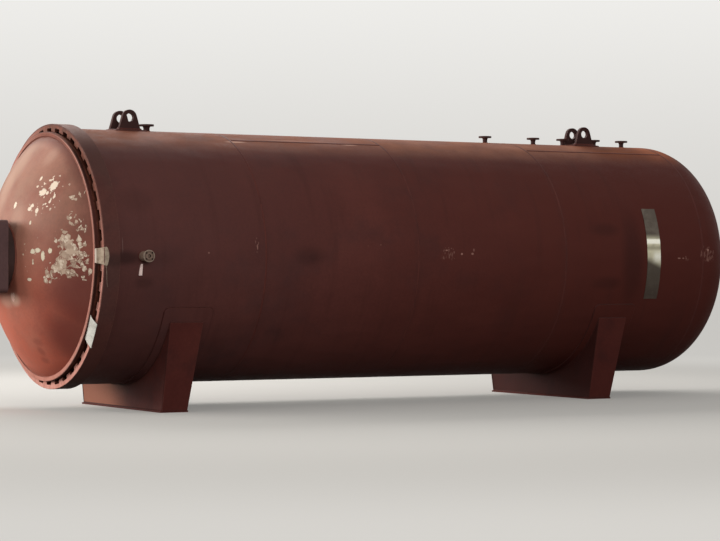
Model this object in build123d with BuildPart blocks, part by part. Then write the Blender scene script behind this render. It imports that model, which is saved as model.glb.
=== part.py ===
from build123d import *
import os
from math import acos, asin, atan2, cos, degrees, hypot, pi, radians, sin, sqrt

# A glass lamination autoclave: a horizontal pressure vessel on two saddles, with a quick-opening
# toothed door on its mouth. Millimetres, +Z up, +X along the vessel towards its rear head.
# The origin is the centre of the front saddle's foot, on the floor.

os.makedirs("parts", exist_ok=True)

# Vessel
bore_radius = 1250
shell_wall = 16
ground_clearance = 250
seat_gap = 0.3
shell_radius = bore_radius + shell_wall
axis_height = ground_clearance + shell_radius

# Lengths along the vessel, from the front face of its mouth
mouth_to_front_saddle = 917
ring_length = 165
course_lengths = (1585, 1760, 1830, 1826)
head_straight = 40
head_crown_share = 0.904
head_knuckle_share = 0.173

# Toothed ring round the mouth
tooth_count = 40
ring_stand_out = 41
notch_width = 108
notch_corner = 10
notch_depth = 34
lip_tip_step = 20
lip_length = 50
throat_step = 74
throat_chamfer = 10
ring_edge = 4

# Door flange, whose teeth turn behind the lip of the ring
tooth_length = 50
tooth_axial_gap = 8
tooth_side_gap = 18
tooth_tip_gap = 15
tooth_lead_in = 6
neck_gap = 25
rim_gap = 2
rim_front = 60
rim_length = 35
rim_width = 41
rim_edge = 5
flange_lip = 40
dish_edge_setback = 16

# Door dish
dish_radius = 1714
dish_wall = 18

# Seal in the face behind the teeth
seal_setback = 8
seal_width = 14
seal_groove_depth = 10

# Hub, shaft and swing arm
hub_radius = 340
hub_stand_out = 42
hub_wall = 16
hub_plate = 30
hub_edge = 6
arm_gap = 5
arm_thickness = 200
arm_height = 700
arm_near_end = 345
arm_corner = 45
arm_plate = 12
shaft_radius = 60
running_gap = 0.05
bearing_wall = 40
bearing_collar = 25
cap_radius = 95
cap_length = 40
cap_edge = 8
cap_gap = 1

# Hinge on the far side
hinge_stand_off = 253
hinge_front = 60
hinge_pin_radius = 45
knuckle_radius = 90
knuckle_height = 760
bracket_thickness = 60
bracket_gap = 5
gusset_height = 220
gusset_thickness = 25
pin_head_radius = 65
pin_head_height = 30
pin_tail = 30
crank_width = 180

# Saddles
saddle_wrap = 60
pad_wrap = 67
pad_width = 520
pad_thickness = 10
pad_corner = 50
foot_length = 1860
foot_width = 300
foot_thickness = 16
web_thickness = 12
web_setback = 20
rib_thickness = 12
rib_top_width = 350
rib_foot_width = 270
inner_rib_spacing = 310
inner_rib_pairs = 3
anchor_spacing_x = 150
anchor_spacing_y = 1700
anchor_hole_radius = 14
anchor_slot_length = 60
rear_saddle_setback = 1194

# Lifting lugs
lug_half_spacing = 111
lug_thickness = 36
lug_top_radius = 79
lug_hole_radius = 41
lug_height = 205
lug_foot_length = 240
lug_pad_length = 330
lug_pad_width = 340
lug_pad_thickness = 12
front_lug_station = 813
rear_lug_setback = 814

# Nozzles on the crown: the first from the mouth, the others back from the rear tangent line
first_nozzle_station = 1058
rear_nozzle_setbacks = (2058, 1420, 1020, 593, 208)
nozzle_neck_radius = 25
nozzle_bore_radius = 18
nozzle_height = 75
nozzle_flange_radius = 70
nozzle_flange_thickness = 18
nozzle_face_radius = 39
nozzle_bolt_circle_radius = 50
nozzle_bolt_radius = 9
first_neck_radius = 32
first_bore_radius = 25
first_nozzle_height = 72
first_flange_radius = 75
first_face_radius = 44
first_bolt_circle_radius = 55
hub_taper = 7
raised_face = 2

# Nozzle on the near side
side_station = 425
side_reach = 134
side_neck_radius = 17
side_bore_radius = 13
side_flange_radius = 57.5
side_flange_thickness = 16
side_face_radius = 34
side_bolt_circle_radius = 42.5
side_bolt_radius = 7

# Bare steel strip on the near side
strip_setback = 799
strip_length = 176
strip_up_angle = 25
strip_down_angle = 20
strip_thickness = 4

# Places worked out from the sizes above
mouth_x = -mouth_to_front_saddle
head_x = mouth_x + ring_length + sum(course_lengths)
tangent_x = head_x + head_straight
ring_radius = shell_radius + ring_stand_out
throat_radius = bore_radius - throat_step
lip_tip_radius = bore_radius - lip_tip_step
notch_radius = lip_tip_radius + notch_depth
tooth_tip_radius = notch_radius - tooth_tip_gap
tooth_root_radius = lip_tip_radius - neck_gap
rim_radius = lip_tip_radius - rim_gap
dish_edge_radius = rim_radius - rim_width
flange_bore_radius = dish_edge_radius - flange_lip
tooth_pitch = 360 / tooth_count
tooth_start = lip_length + tooth_axial_gap
door_back = tooth_start + tooth_length
groove_end = door_back + tooth_axial_gap
hinge_x = mouth_x - hinge_front
hinge_y = ring_radius + hinge_stand_off
vessel_axis = Axis((0, 0, axis_height), (1, 0, 0))


def save(part, name):
    """Label a finished piece and write it to its own file."""
    part.label = name
    export_step(part, f"parts/{name}.step")


def across(x):
    """The plane across the vessel at x, its own x axis pointing to the far side and y up."""
    return Plane(origin=(x, 0, axis_height), x_dir=(0, 1, 0), z_dir=(1, 0, 0))


def ring_section(points):
    """Places (station, radius) points in the plane through the vessel's axis."""
    return [(mouth_x + station, axis_height + radius) for station, radius in points]


def polar(radius, angle):
    """A point across the vessel at an angle from the far side, counted towards the top."""
    return (radius * cos(radians(angle)), radius * sin(radians(angle)))


def rolled_plate(name, inner_radius, thickness, start_angle, sweep_angle, start_x, length, corner):
    """A plate rolled to the shell, with rounded corners where corner is over zero."""
    outer_radius = inner_radius + thickness
    with BuildPart() as plate:
        with BuildSketch(across(start_x)):
            with BuildLine():
                CenterArc((0, 0), inner_radius, start_angle, sweep_angle)
                CenterArc((0, 0), outer_radius, start_angle, sweep_angle)
                for angle in (start_angle, start_angle + sweep_angle):
                    Line(polar(inner_radius, angle), polar(outer_radius, angle))
            make_face()
        extrude(amount=length)
        if corner:
            upright = plate.edges().filter_by(GeomType.LINE).filter_by(Axis.X, reverse=True)
            fillet(upright, corner)
    save(plate.part, name)


# Shell courses, each with a hole for the nozzles that pass through it.
nozzle_places = [(mouth_x + first_nozzle_station, first_neck_radius)]
nozzle_places += [(tangent_x - setback, nozzle_neck_radius) for setback in rear_nozzle_setbacks]
side_nozzle_x = mouth_x + side_station


def shell_course(name, start, length):
    """One rolled course of the shell."""
    with BuildPart() as course:
        with BuildSketch(across(start)):
            Circle(shell_radius)
            Circle(bore_radius, mode=Mode.SUBTRACT)
        extrude(amount=length)
        for x, neck in nozzle_places:
            if start < x < start + length:
                with BuildSketch(Plane.XY.offset(axis_height)):
                    with Locations((x, 0)):
                        Circle(neck + seat_gap)
                extrude(amount=ring_radius, mode=Mode.SUBTRACT)
        if start < side_nozzle_x < start + length:
            with BuildSketch(Plane.XZ):
                with Locations((side_nozzle_x, axis_height)):
                    Circle(side_neck_radius + seat_gap)
            extrude(amount=ring_radius, mode=Mode.SUBTRACT)
    save(course.part, name)


course_start = mouth_x + ring_length
for number, length in enumerate(course_lengths, 1):
    shell_course(f"shell_course_{number}", course_start, length)
    course_start += length

# Rear head: a straight flange, a knuckle and a crown of even thickness, as deep as a 2:1 end.
crown_radius = head_crown_share * 2 * bore_radius
knuckle_radius_in = head_knuckle_share * 2 * bore_radius
knuckle_centre_r = bore_radius - knuckle_radius_in
crown_drop = sqrt((crown_radius - knuckle_radius_in) ** 2 - knuckle_centre_r**2)
crown_centre_x = tangent_x - crown_drop
knuckle_centre = (tangent_x, axis_height + knuckle_centre_r)
join_slope = asin(knuckle_centre_r / (crown_radius - knuckle_radius_in))


def head_point(radius, centre, slope):
    """A point on a round stretch of the head, at a slope from the vessel's axis."""
    return (centre[0] + radius * cos(slope), centre[1] + radius * sin(slope))


def head_line(wall):
    """The head's points at a wall thickness over its inside: straight end to crown."""
    crown_centre = (crown_centre_x, axis_height)
    knuckle = knuckle_radius_in + wall
    crown = crown_radius + wall
    return (
        (head_x, axis_height + bore_radius + wall),
        (tangent_x, axis_height + bore_radius + wall),
        head_point(knuckle, knuckle_centre, (join_slope + pi / 2) / 2),
        head_point(knuckle, knuckle_centre, join_slope),
        head_point(crown, crown_centre, join_slope / 2),
        head_point(crown, crown_centre, 0),
    )


with BuildPart() as rear_head:
    with BuildSketch(Plane.XZ):
        with BuildLine():
            for wall in (0, shell_wall):
                straight, shoulder, mid_knuckle, join, mid_crown, pole = head_line(wall)
                Line(straight, shoulder)
                ThreePointArc(shoulder, mid_knuckle, join)
                ThreePointArc(join, mid_crown, pole)
            Line(head_line(0)[0], head_line(shell_wall)[0])
            Line(head_line(0)[-1], head_line(shell_wall)[-1])
        make_face()
    revolve(axis=vessel_axis)
save(rear_head.part, "rear_head")

# Toothed end ring: a notched lip in front, a groove for the door's teeth behind it, and the throat
# with the seal's groove at the back.
seal_inner_radius = throat_radius + seal_setback
seal_outer_radius = seal_inner_radius + seal_width
with BuildPart() as end_ring:
    with BuildSketch(Plane.XZ):
        with BuildLine():
            section = ring_section(
                (
                    (0, lip_tip_radius),
                    (0, ring_radius - ring_edge),
                    (ring_edge, ring_radius),
                    (ring_length, ring_radius),
                    (ring_length, throat_radius + throat_chamfer),
                    (ring_length - throat_chamfer, throat_radius),
                    (groove_end, throat_radius),
                    (groove_end, seal_inner_radius),
                    (groove_end + seal_groove_depth, seal_inner_radius),
                    (groove_end + seal_groove_depth, seal_outer_radius),
                    (groove_end, seal_outer_radius),
                    (groove_end, notch_radius),
                    (lip_length, notch_radius),
                    (lip_length, lip_tip_radius),
                )
            )
            Polyline(*section, close=True)
        make_face()
    revolve(axis=vessel_axis)
    with BuildSketch(across(mouth_x)):
        with PolarLocations(notch_radius - notch_depth, tooth_count):
            RectangleRounded(2 * notch_depth, notch_width, notch_corner)
    extrude(amount=lip_length, mode=Mode.SUBTRACT)
save(end_ring.part, "end_ring")

# Seal ring, standing out of its groove to the door's back face.
with BuildPart() as door_seal:
    with BuildSketch(Plane.XZ):
        with BuildLine():
            section = ring_section(
                (
                    (door_back + seat_gap, seal_inner_radius + seat_gap),
                    (groove_end + seal_groove_depth - seat_gap, seal_inner_radius + seat_gap),
                    (groove_end + seal_groove_depth - seat_gap, seal_outer_radius - seat_gap),
                    (door_back + seat_gap, seal_outer_radius - seat_gap),
                )
            )
            Polyline(*section, close=True)
        make_face()
    revolve(axis=vessel_axis)
save(door_seal.part, "door_seal")

# Door flange: the rim in front of the ring, a neck through the lip, and the teeth behind it.
edge_slope = asin(dish_edge_radius / dish_radius)
dish_edge = rim_front - dish_edge_setback
dish_seat = dish_wall / cos(edge_slope) + seat_gap - dish_edge
rim_back = rim_length - rim_front
tooth_gap_width = 2 * pi * tooth_tip_radius / tooth_count - notch_width + 2 * tooth_side_gap
with BuildPart() as door_flange:
    with BuildSketch(Plane.XZ):
        with BuildLine():
            section = ring_section(
                (
                    (-rim_front, dish_edge_radius),
                    (-rim_front, rim_radius - rim_edge),
                    (rim_edge - rim_front, rim_radius),
                    (rim_back, rim_radius),
                    (rim_back, tooth_root_radius),
                    (tooth_start, tooth_root_radius),
                    (tooth_start, tooth_tip_radius - tooth_lead_in),
                    (tooth_start + tooth_lead_in, tooth_tip_radius),
                    (door_back, tooth_tip_radius),
                    (door_back, flange_bore_radius),
                    (dish_seat, flange_bore_radius),
                    (dish_seat, dish_edge_radius),
                )
            )
            Polyline(*section, close=True)
        make_face()
    revolve(axis=vessel_axis)
    tooth_height = tooth_tip_radius - tooth_root_radius
    with BuildSketch(across(mouth_x + tooth_start)):
        with PolarLocations(tooth_root_radius + tooth_height, tooth_count, start_angle=tooth_pitch / 2):
            RectangleRounded(2 * tooth_height, tooth_gap_width, notch_corner)
    extrude(amount=tooth_length, mode=Mode.SUBTRACT)
save(door_flange.part, "door_flange")

# Door dish: a spherical cap whose edge stands on the flange's inner lip.
dish_centre_station = dish_radius * cos(edge_slope) - dish_edge
dish_cut_radius = dish_edge_radius - seat_gap


def dish_point(sphere_radius, radius):
    """Where a sphere about the dish's centre stands at a radius from the vessel's axis."""
    station = dish_centre_station - sqrt(sphere_radius**2 - radius**2)
    return (mouth_x + station, axis_height + radius)


with BuildPart() as door_dish:
    with BuildSketch(Plane.XZ):
        with BuildLine():
            for sphere in (dish_radius, dish_radius - dish_wall):
                middle = dish_point(sphere, dish_cut_radius / 2)
                ThreePointArc(dish_point(sphere, 0), middle, dish_point(sphere, dish_cut_radius))
            for radius in (0, dish_cut_radius):
                Line(dish_point(dish_radius, radius), dish_point(dish_radius - dish_wall, radius))
        make_face()
    revolve(axis=vessel_axis)
save(door_dish.part, "door_dish")

# Hub: a short drum on the dish, with a front plate that carries the shaft.
hub_front = dish_radius - dish_centre_station + hub_stand_out
hub_seat = dish_radius + seat_gap
with BuildPart() as door_hub:
    with BuildSketch(Plane.XZ):
        with BuildLine():
            seat_outer = dish_point(hub_seat, hub_radius)
            seat_middle = dish_point(hub_seat, hub_radius - hub_wall / 2)
            seat_inner = dish_point(hub_seat, hub_radius - hub_wall)
            front_x = mouth_x - hub_front
            plate_x = front_x + hub_plate
            ThreePointArc(seat_outer, seat_middle, seat_inner)
            Polyline(
                seat_inner,
                (plate_x, axis_height + hub_radius - hub_wall),
                (plate_x, axis_height + shaft_radius + seat_gap),
                (front_x, axis_height + shaft_radius + seat_gap),
                (front_x, axis_height + hub_radius - hub_edge),
                (front_x + hub_edge, axis_height + hub_radius),
                seat_outer,
            )
        make_face()
    revolve(axis=vessel_axis)
save(door_hub.part, "door_hub")

# Shaft through the hub's plate and the arm, and the cap on its front end.
arm_back = hub_front + arm_gap
arm_front = arm_back + arm_thickness
bearing_front = arm_front + bearing_collar
cap_back = bearing_front + cap_gap
with BuildPart() as door_shaft:
    with BuildSketch(across(mouth_x - cap_back)):
        Circle(shaft_radius)
    extrude(amount=cap_back - hub_front + hub_plate)
save(door_shaft.part, "door_shaft")

with BuildPart() as shaft_cap:
    with BuildSketch(across(mouth_x - cap_back - cap_length)):
        Circle(cap_radius)
    extrude(amount=cap_length)
    chamfer(shaft_cap.edges().filter_by(GeomType.CIRCLE).sort_by(Axis.X)[0], cap_edge)
save(shaft_cap.part, "shaft_cap")

# Bearing tube of the arm, through both its plates and proud of the front one.
bearing_radius = shaft_radius + bearing_wall
with BuildPart() as arm_bearing:
    with BuildSketch(across(mouth_x - bearing_front)):
        Circle(bearing_radius)
        Circle(shaft_radius + running_gap, mode=Mode.SUBTRACT)
    extrude(amount=bearing_front - arm_back)
save(arm_bearing.part, "arm_bearing")

# Swing arm: a box beam in front of the door, with a crank back to the hinge on the far side.
crank_far_side = hinge_y + crank_width / 2
crank_near_side = hinge_y - crank_width / 2
arm_bottom = axis_height - arm_height / 2


def arm_plan(inset):
    """The arm's outline seen from above, inset from its outer faces."""
    front_face = mouth_x - arm_front + inset
    back_face = mouth_x - arm_back - inset
    return (
        (front_face, inset - arm_near_end),
        (front_face, crank_far_side - inset),
        (hinge_x, crank_far_side - inset),
        (hinge_x, crank_near_side + inset),
        (back_face, crank_near_side + inset),
        (back_face, inset - arm_near_end),
    )


with BuildPart() as arm_beam:
    with BuildSketch(Plane.XY.offset(arm_bottom)):
        with BuildLine():
            Polyline(*arm_plan(0), close=True)
        make_face()
    extrude(amount=arm_height)
    near_edges = arm_beam.edges().filter_by(Axis.X).group_by(Axis.Y)[0]
    fillet(near_edges, arm_corner)
    with BuildSketch(Plane.XY.offset(arm_bottom + arm_plate)):
        with BuildLine():
            Polyline(*arm_plan(arm_plate), close=True)
        make_face()
    extrude(amount=arm_height - 2 * arm_plate, mode=Mode.SUBTRACT)
    with BuildSketch(across(mouth_x - arm_front)):
        Circle(bearing_radius + seat_gap)
    extrude(amount=arm_thickness, mode=Mode.SUBTRACT)
    with BuildSketch(Plane.XY.offset(arm_bottom)):
        with Locations((hinge_x, hinge_y)):
            Circle(knuckle_radius + seat_gap)
            Rectangle(knuckle_radius, crank_width, align=(Align.MIN, Align.CENTER))
    extrude(amount=arm_height, mode=Mode.SUBTRACT)
save(arm_beam.part, "arm_beam")

with BuildPart() as arm_knuckle:
    with BuildSketch(Plane.XY.offset(axis_height - knuckle_height / 2)):
        with Locations((hinge_x, hinge_y)):
            Circle(knuckle_radius)
            Circle(hinge_pin_radius + running_gap, mode=Mode.SUBTRACT)
    extrude(amount=knuckle_height)
save(arm_knuckle.part, "arm_knuckle")

# Hinge brackets on the end ring, above and below the knuckle, each with a gusset.
bracket_inner = knuckle_height / 2 + bracket_gap


def hinge_bracket(name, side):
    """A plate from the end ring out to the hinge pin, with an upright gusset away from the arm."""
    low = bracket_inner if side > 0 else -bracket_inner - bracket_thickness
    gusset_low = bracket_inner + bracket_thickness if side > 0 else -bracket_inner - bracket_thickness
    with BuildPart() as bracket:
        with BuildSketch(Plane.XY.offset(axis_height + low)):
            with BuildLine():
                Polyline(
                    (hinge_x - knuckle_radius, hinge_y),
                    (mouth_x, shell_radius / 2),
                    (mouth_x + ring_length, shell_radius / 2),
                    (mouth_x + ring_length, hinge_y - knuckle_radius),
                    (hinge_x + knuckle_radius, hinge_y),
                    close=True,
                )
            make_face()
            with Locations((hinge_x, hinge_y)):
                Circle(knuckle_radius)
                Circle(hinge_pin_radius + running_gap, mode=Mode.SUBTRACT)
        extrude(amount=bracket_thickness)
        middle_x = mouth_x + ring_length / 2 + gusset_thickness / 2
        with BuildSketch(Plane.YZ.offset(middle_x)):
            with BuildLine():
                Polyline(
                    (shell_radius / 2, axis_height + gusset_low),
                    (hinge_y - knuckle_radius, axis_height + gusset_low),
                    (shell_radius / 2, axis_height + gusset_low + side * 2 * gusset_height),
                    close=True,
                )
            make_face()
        extrude(amount=-gusset_thickness)
        with BuildSketch(across(mouth_x - hinge_front - knuckle_radius)):
            Circle(ring_radius + seat_gap)
        extrude(amount=hinge_front + knuckle_radius + ring_length, mode=Mode.SUBTRACT)
    save(bracket.part, name)


hinge_bracket("hinge_bracket_upper", 1)
hinge_bracket("hinge_bracket_lower", -1)

# Hinge pin, hanging by its head on the upper bracket.
pin_top = axis_height + bracket_inner + bracket_thickness
pin_bottom = axis_height - bracket_inner - bracket_thickness - pin_tail
with BuildPart() as hinge_pin:
    with BuildSketch(Plane.XY.offset(pin_bottom)):
        with Locations((hinge_x, hinge_y)):
            Circle(hinge_pin_radius)
    extrude(amount=pin_top - pin_bottom)
    with BuildSketch(Plane.XY.offset(pin_top)):
        with Locations((hinge_x, hinge_y)):
            Circle(pin_head_radius)
    extrude(amount=pin_head_height)
save(hinge_pin.part, "hinge_pin")

# Saddles. The web stands at the mouth side of the foot and its ribs run back from it.
pad_inner_radius = shell_radius + seat_gap
saddle_seat_radius = pad_inner_radius + pad_thickness + seat_gap
wrap_y = saddle_seat_radius * sin(radians(saddle_wrap))
wrap_z = axis_height - saddle_seat_radius * cos(radians(saddle_wrap))
end_rib_foot = foot_length / 2 - rib_thickness
web_front = web_setback - foot_width / 2


def saddle_web(name, centre):
    """The upright plate across the vessel, from the foot up to the pad."""
    foot_z = foot_thickness - axis_height
    top_z = wrap_z - axis_height
    with BuildPart() as web:
        with BuildSketch(across(centre + web_front)):
            with BuildLine():
                Polyline(
                    (-wrap_y, top_z),
                    (-end_rib_foot, foot_z),
                    (end_rib_foot, foot_z),
                    (wrap_y, top_z),
                    close=True,
                )
            make_face()
            Circle(saddle_seat_radius, mode=Mode.SUBTRACT)
        extrude(amount=web_thickness)
    save(web.part, name)


def end_rib(centre, side):
    """The leaning plate that closes one end of the saddle, its back edge tapering to the foot."""
    up_slope = Vector(0, side * (wrap_y - end_rib_foot), wrap_z - foot_thickness)
    outward = up_slope.cross(Vector(1, 0, 0)) * side
    foot = (centre + web_front, side * end_rib_foot, foot_thickness)
    with BuildPart() as rib:
        with BuildSketch(Plane(origin=foot, x_dir=(1, 0, 0), z_dir=outward)):
            with BuildLine():
                rise = side * up_slope.length
                Polyline(
                    (0, 0),
                    (rib_foot_width, 0),
                    (rib_top_width, -rise),
                    (0, -rise),
                    close=True,
                )
            make_face()
        extrude(amount=rib_thickness)
        with BuildSketch(across(centre - pad_width)):
            Circle(saddle_seat_radius)
        extrude(amount=2 * pad_width, mode=Mode.SUBTRACT)
        with BuildSketch(Plane.XY):
            with Locations((centre, 0)):
                Rectangle(2 * pad_width, 2 * foot_length)
        extrude(amount=foot_thickness, mode=Mode.SUBTRACT)
    return rib.part


def inner_rib(centre, place):
    """The upright plate behind the web at a distance from the middle."""
    start = centre + web_front
    with BuildPart() as rib:
        with BuildSketch(Plane.XZ.offset(-place - rib_thickness / 2)):
            with BuildLine():
                Polyline(
                    (start + web_thickness, foot_thickness),
                    (start + rib_foot_width, foot_thickness),
                    (start + rib_top_width, wrap_z),
                    (start + web_thickness, wrap_z),
                    close=True,
                )
            make_face()
        extrude(amount=rib_thickness)
        with BuildSketch(across(start)):
            Circle(saddle_seat_radius)
        extrude(amount=pad_width, mode=Mode.SUBTRACT)
    return rib.part


def saddle_foot(name, centre, slotted):
    """The base plate, with round anchor holes or with slots that let the vessel grow."""
    with BuildPart() as foot:
        with BuildSketch(Plane.XY):
            with Locations((centre, 0)):
                Rectangle(foot_width, foot_length)
                with GridLocations(anchor_spacing_x, anchor_spacing_y, 2, 2):
                    if slotted:
                        SlotOverall(anchor_slot_length, 2 * anchor_hole_radius, mode=Mode.SUBTRACT)
                    else:
                        Circle(anchor_hole_radius, mode=Mode.SUBTRACT)
        extrude(amount=foot_thickness)
    save(foot.part, name)


rib_places = [(pair + 0.5) * inner_rib_spacing for pair in range(inner_rib_pairs)]
rear_saddle_x = tangent_x - rear_saddle_setback
for end, centre, slotted in (("front", 0, False), ("rear", rear_saddle_x, True)):
    rolled_plate(
        f"{end}_saddle_pad",
        pad_inner_radius,
        pad_thickness,
        -90 - pad_wrap,
        2 * pad_wrap,
        centre + web_front + rib_top_width / 2 - pad_width / 2,
        pad_width,
        pad_corner,
    )
    saddle_web(f"{end}_saddle_web", centre)
    saddle_foot(f"{end}_saddle_base", centre, slotted)
    ribs = [end_rib(centre, side) for side in (-1, 1)]
    ribs += [inner_rib(centre, side * place) for place in rib_places for side in (-1, 1)]
    save(Compound(children=[solid for rib in ribs for solid in rib.solids()]), f"{end}_saddle_ribs")

# Lifting lugs on a shared pad
lug_pad_half_angle = degrees(asin(lug_pad_width / 2 / shell_radius))
lug_seat_radius = pad_inner_radius + lug_pad_thickness + seat_gap
eye_height = lug_height - lug_top_radius
lug_half_foot = lug_foot_length / 2
flank_turn = acos(lug_top_radius / hypot(eye_height, lug_half_foot)) - atan2(eye_height, lug_half_foot)


def lifting_lug(name, x, y):
    """An eye plate on the crown, with straight flanks from its round top to its foot."""
    crown = axis_height + shell_radius
    flank_x = lug_top_radius * cos(flank_turn)
    flank_z = crown + eye_height + lug_top_radius * sin(flank_turn)
    with BuildPart() as lug:
        with BuildSketch(Plane.XZ.offset(-y - lug_thickness / 2)):
            with BuildLine():
                Polyline(
                    (x - flank_x, flank_z),
                    (x - lug_half_foot, crown),
                    (x - lug_half_foot, crown - lug_thickness),
                    (x + lug_half_foot, crown - lug_thickness),
                    (x + lug_half_foot, crown),
                    (x + flank_x, flank_z),
                    close=True,
                )
            make_face()
            with Locations((x, crown + eye_height)):
                Circle(lug_top_radius)
                Circle(lug_hole_radius, mode=Mode.SUBTRACT)
        extrude(amount=lug_thickness)
        with BuildSketch(across(x - lug_foot_length)):
            Circle(lug_seat_radius)
        extrude(amount=2 * lug_foot_length, mode=Mode.SUBTRACT)
    save(lug.part, name)


for end, x in (("front", mouth_x + front_lug_station), ("rear", tangent_x - rear_lug_setback)):
    lifting_lug(f"{end}_lug_near", x, -lug_half_spacing)
    lifting_lug(f"{end}_lug_far", x, lug_half_spacing)
    rolled_plate(
        f"{end}_lug_pad",
        pad_inner_radius,
        lug_pad_thickness,
        90 - lug_pad_half_angle,
        2 * lug_pad_half_angle,
        x - lug_pad_length / 2,
        lug_pad_length,
        0,
    )


def nozzle(name, plane, sizes):
    """A flanged pipe stub, turned about the middle of a plane that faces out of the vessel."""
    neck, bore, reach, flange, thickness, face, bolt_circle, bolt = sizes
    end = shell_radius + reach
    turned = (
        (bore, bore_radius),
        (neck, bore_radius),
        (neck, end - raised_face - thickness - 3 * hub_taper),
        (neck + hub_taper, end - raised_face - thickness),
        (flange, end - raised_face - thickness),
        (flange, end - raised_face),
        (face, end - raised_face),
        (face, end),
        (bore, end),
    )
    with BuildPart() as stub:
        with BuildSketch(Plane(origin=plane.origin, x_dir=plane.x_dir, z_dir=-plane.y_dir)):
            with BuildLine():
                Polyline(*turned, close=True)
            make_face()
        revolve(axis=Axis(plane.origin, plane.z_dir))
        with BuildSketch(plane.offset(end - thickness - raised_face)):
            with PolarLocations(bolt_circle, 4, start_angle=45):
                Circle(bolt)
        extrude(amount=thickness, mode=Mode.SUBTRACT)
    save(stub.part, name)


first_sizes = (
    first_neck_radius,
    first_bore_radius,
    first_nozzle_height,
    first_flange_radius,
    nozzle_flange_thickness,
    first_face_radius,
    first_bolt_circle_radius,
    nozzle_bolt_radius,
)
rear_sizes = (
    nozzle_neck_radius,
    nozzle_bore_radius,
    nozzle_height,
    nozzle_flange_radius,
    nozzle_flange_thickness,
    nozzle_face_radius,
    nozzle_bolt_circle_radius,
    nozzle_bolt_radius,
)
side_sizes = (
    side_neck_radius,
    side_bore_radius,
    side_reach,
    side_flange_radius,
    side_flange_thickness,
    side_face_radius,
    side_bolt_circle_radius,
    side_bolt_radius,
)
for number, (x, neck) in enumerate(nozzle_places, 1):
    sizes = first_sizes if number == 1 else rear_sizes
    nozzle(f"top_nozzle_{number}", Plane(origin=(x, 0, axis_height)), sizes)
side_plane = Plane(origin=(side_nozzle_x, 0, axis_height), x_dir=(1, 0, 0), z_dir=(0, -1, 0))
nozzle("side_nozzle", side_plane, side_sizes)

# Bare strip, rolled to the shell.
rolled_plate(
    "bare_strip",
    pad_inner_radius,
    strip_thickness,
    180 - strip_up_angle,
    strip_up_angle + strip_down_angle,
    tangent_x - strip_setback,
    strip_length,
    0,
)
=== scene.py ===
import bmesh
import bpy
from functools import reduce
from math import acos, asin, cos, pi, radians, sin, sqrt
from mathutils import Matrix, Vector, noise


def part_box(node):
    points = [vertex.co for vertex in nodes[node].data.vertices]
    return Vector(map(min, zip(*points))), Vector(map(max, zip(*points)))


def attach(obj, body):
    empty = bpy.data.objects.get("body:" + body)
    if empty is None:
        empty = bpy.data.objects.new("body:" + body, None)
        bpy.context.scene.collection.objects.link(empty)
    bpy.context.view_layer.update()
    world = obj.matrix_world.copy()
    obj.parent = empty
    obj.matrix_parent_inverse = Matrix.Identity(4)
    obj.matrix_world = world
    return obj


# Looks of a glass lamination autoclave in red oxide primer. Metres, in the frame of the solid model.

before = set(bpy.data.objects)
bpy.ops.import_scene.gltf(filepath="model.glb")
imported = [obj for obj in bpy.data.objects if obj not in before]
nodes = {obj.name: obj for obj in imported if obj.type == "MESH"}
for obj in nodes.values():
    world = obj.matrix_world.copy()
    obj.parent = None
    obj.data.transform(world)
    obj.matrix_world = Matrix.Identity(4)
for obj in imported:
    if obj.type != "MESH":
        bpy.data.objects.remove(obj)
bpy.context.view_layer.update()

# Places read from the solid model
shell_low, shell_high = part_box("shell_course_2")
ring_low, ring_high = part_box("end_ring")
dish_low, dish_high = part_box("door_dish")
hub_low, hub_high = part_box("door_hub")
arm_low, arm_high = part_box("arm_beam")
shell_radius = (shell_high.z - shell_low.z) / 2
axis_height = (shell_high.z + shell_low.z) / 2
ring_radius = (ring_high.z - ring_low.z) / 2
mouth_x = ring_low.x
rim_back = mouth_x - 0.03
rim_front = [vertex.co for vertex in nodes["door_flange"].data.vertices if vertex.co.x < rim_back]
rim_radius = max(sqrt(point.y**2 + (point.z - axis_height) ** 2) for point in rim_front)
ring_back = ring_high.x
seam_places = [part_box(f"shell_course_{number}")[1].x for number in (1, 2, 3, 4)]

# Sizes that the boxes don't give. Where two stand together, a tone changes between them.
stub_bolt_circle = 0.0425
stub_raised_radius = 0.032
stub_neck_limit = 0.05
stub_bore_edge = (0.015, 0.018)
stub_hole_edge = (0.0085, 0.0115)
stub_rim_edge = (0.051, 0.055)
sleeve_radius = 0.049
sleeve_facets = 64
lug_corner = 0.003
lug_pad_corner = 0.004
saddle_pad_corner = 0.05
rib_spacing = 0.31
rib_pairs = 3
rib_thickness = 0.012
rib_inset = 0.02
foot_inset = 0.01
arm_corner = 0.045
bracket_thickness = 0.06
skin = 0.0008
tape_thickness = 0.0004
card_thickness = 0.0005

# The dish is part of a ball about a point on the vessel's axis.
dish_radius = 1.714
dish_centre_x = dish_low.x + dish_radius
dish_edge_radius = (dish_high.z - dish_low.z) / 2
dish_edge_slope = asin(dish_edge_radius / dish_radius)
dish_edge_x = dish_centre_x - dish_radius * cos(dish_edge_slope)
hub_radius = (hub_high.z - hub_low.z) / 2
hub_slope = asin(hub_radius / dish_radius)

# Painted spots: where the dish's wide ones are centred along the vessel, and how deep the crown's reach
dish_middle_x = -1.2
crown_depth = 0.3


def on_near_side(x, radius, up):
    """A point on the near side at a radius and a height over the axis."""
    return Vector((x, -sqrt(radius**2 - up**2), axis_height + up))


# Colours are written as they look on a screen, from 0 to 255, and turned into light values here.
def paint(red, green, blue):
    """A colour's light values, with full alpha."""
    shares = [channel / 255 for channel in (red, green, blue)]
    return tuple(s / 12.92 if s < 0.04045 else ((s + 0.055) / 1.055) ** 2.4 for s in shares) + (1,)


# Primer on the rolled plate of the shell, and steel showing at a worn edge
shell_paint = paint(90, 48, 43)
shell_faded = paint(102, 55, 49)
shell_sooty = paint(70, 44, 43)
worn_edge = paint(150, 104, 90)


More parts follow.
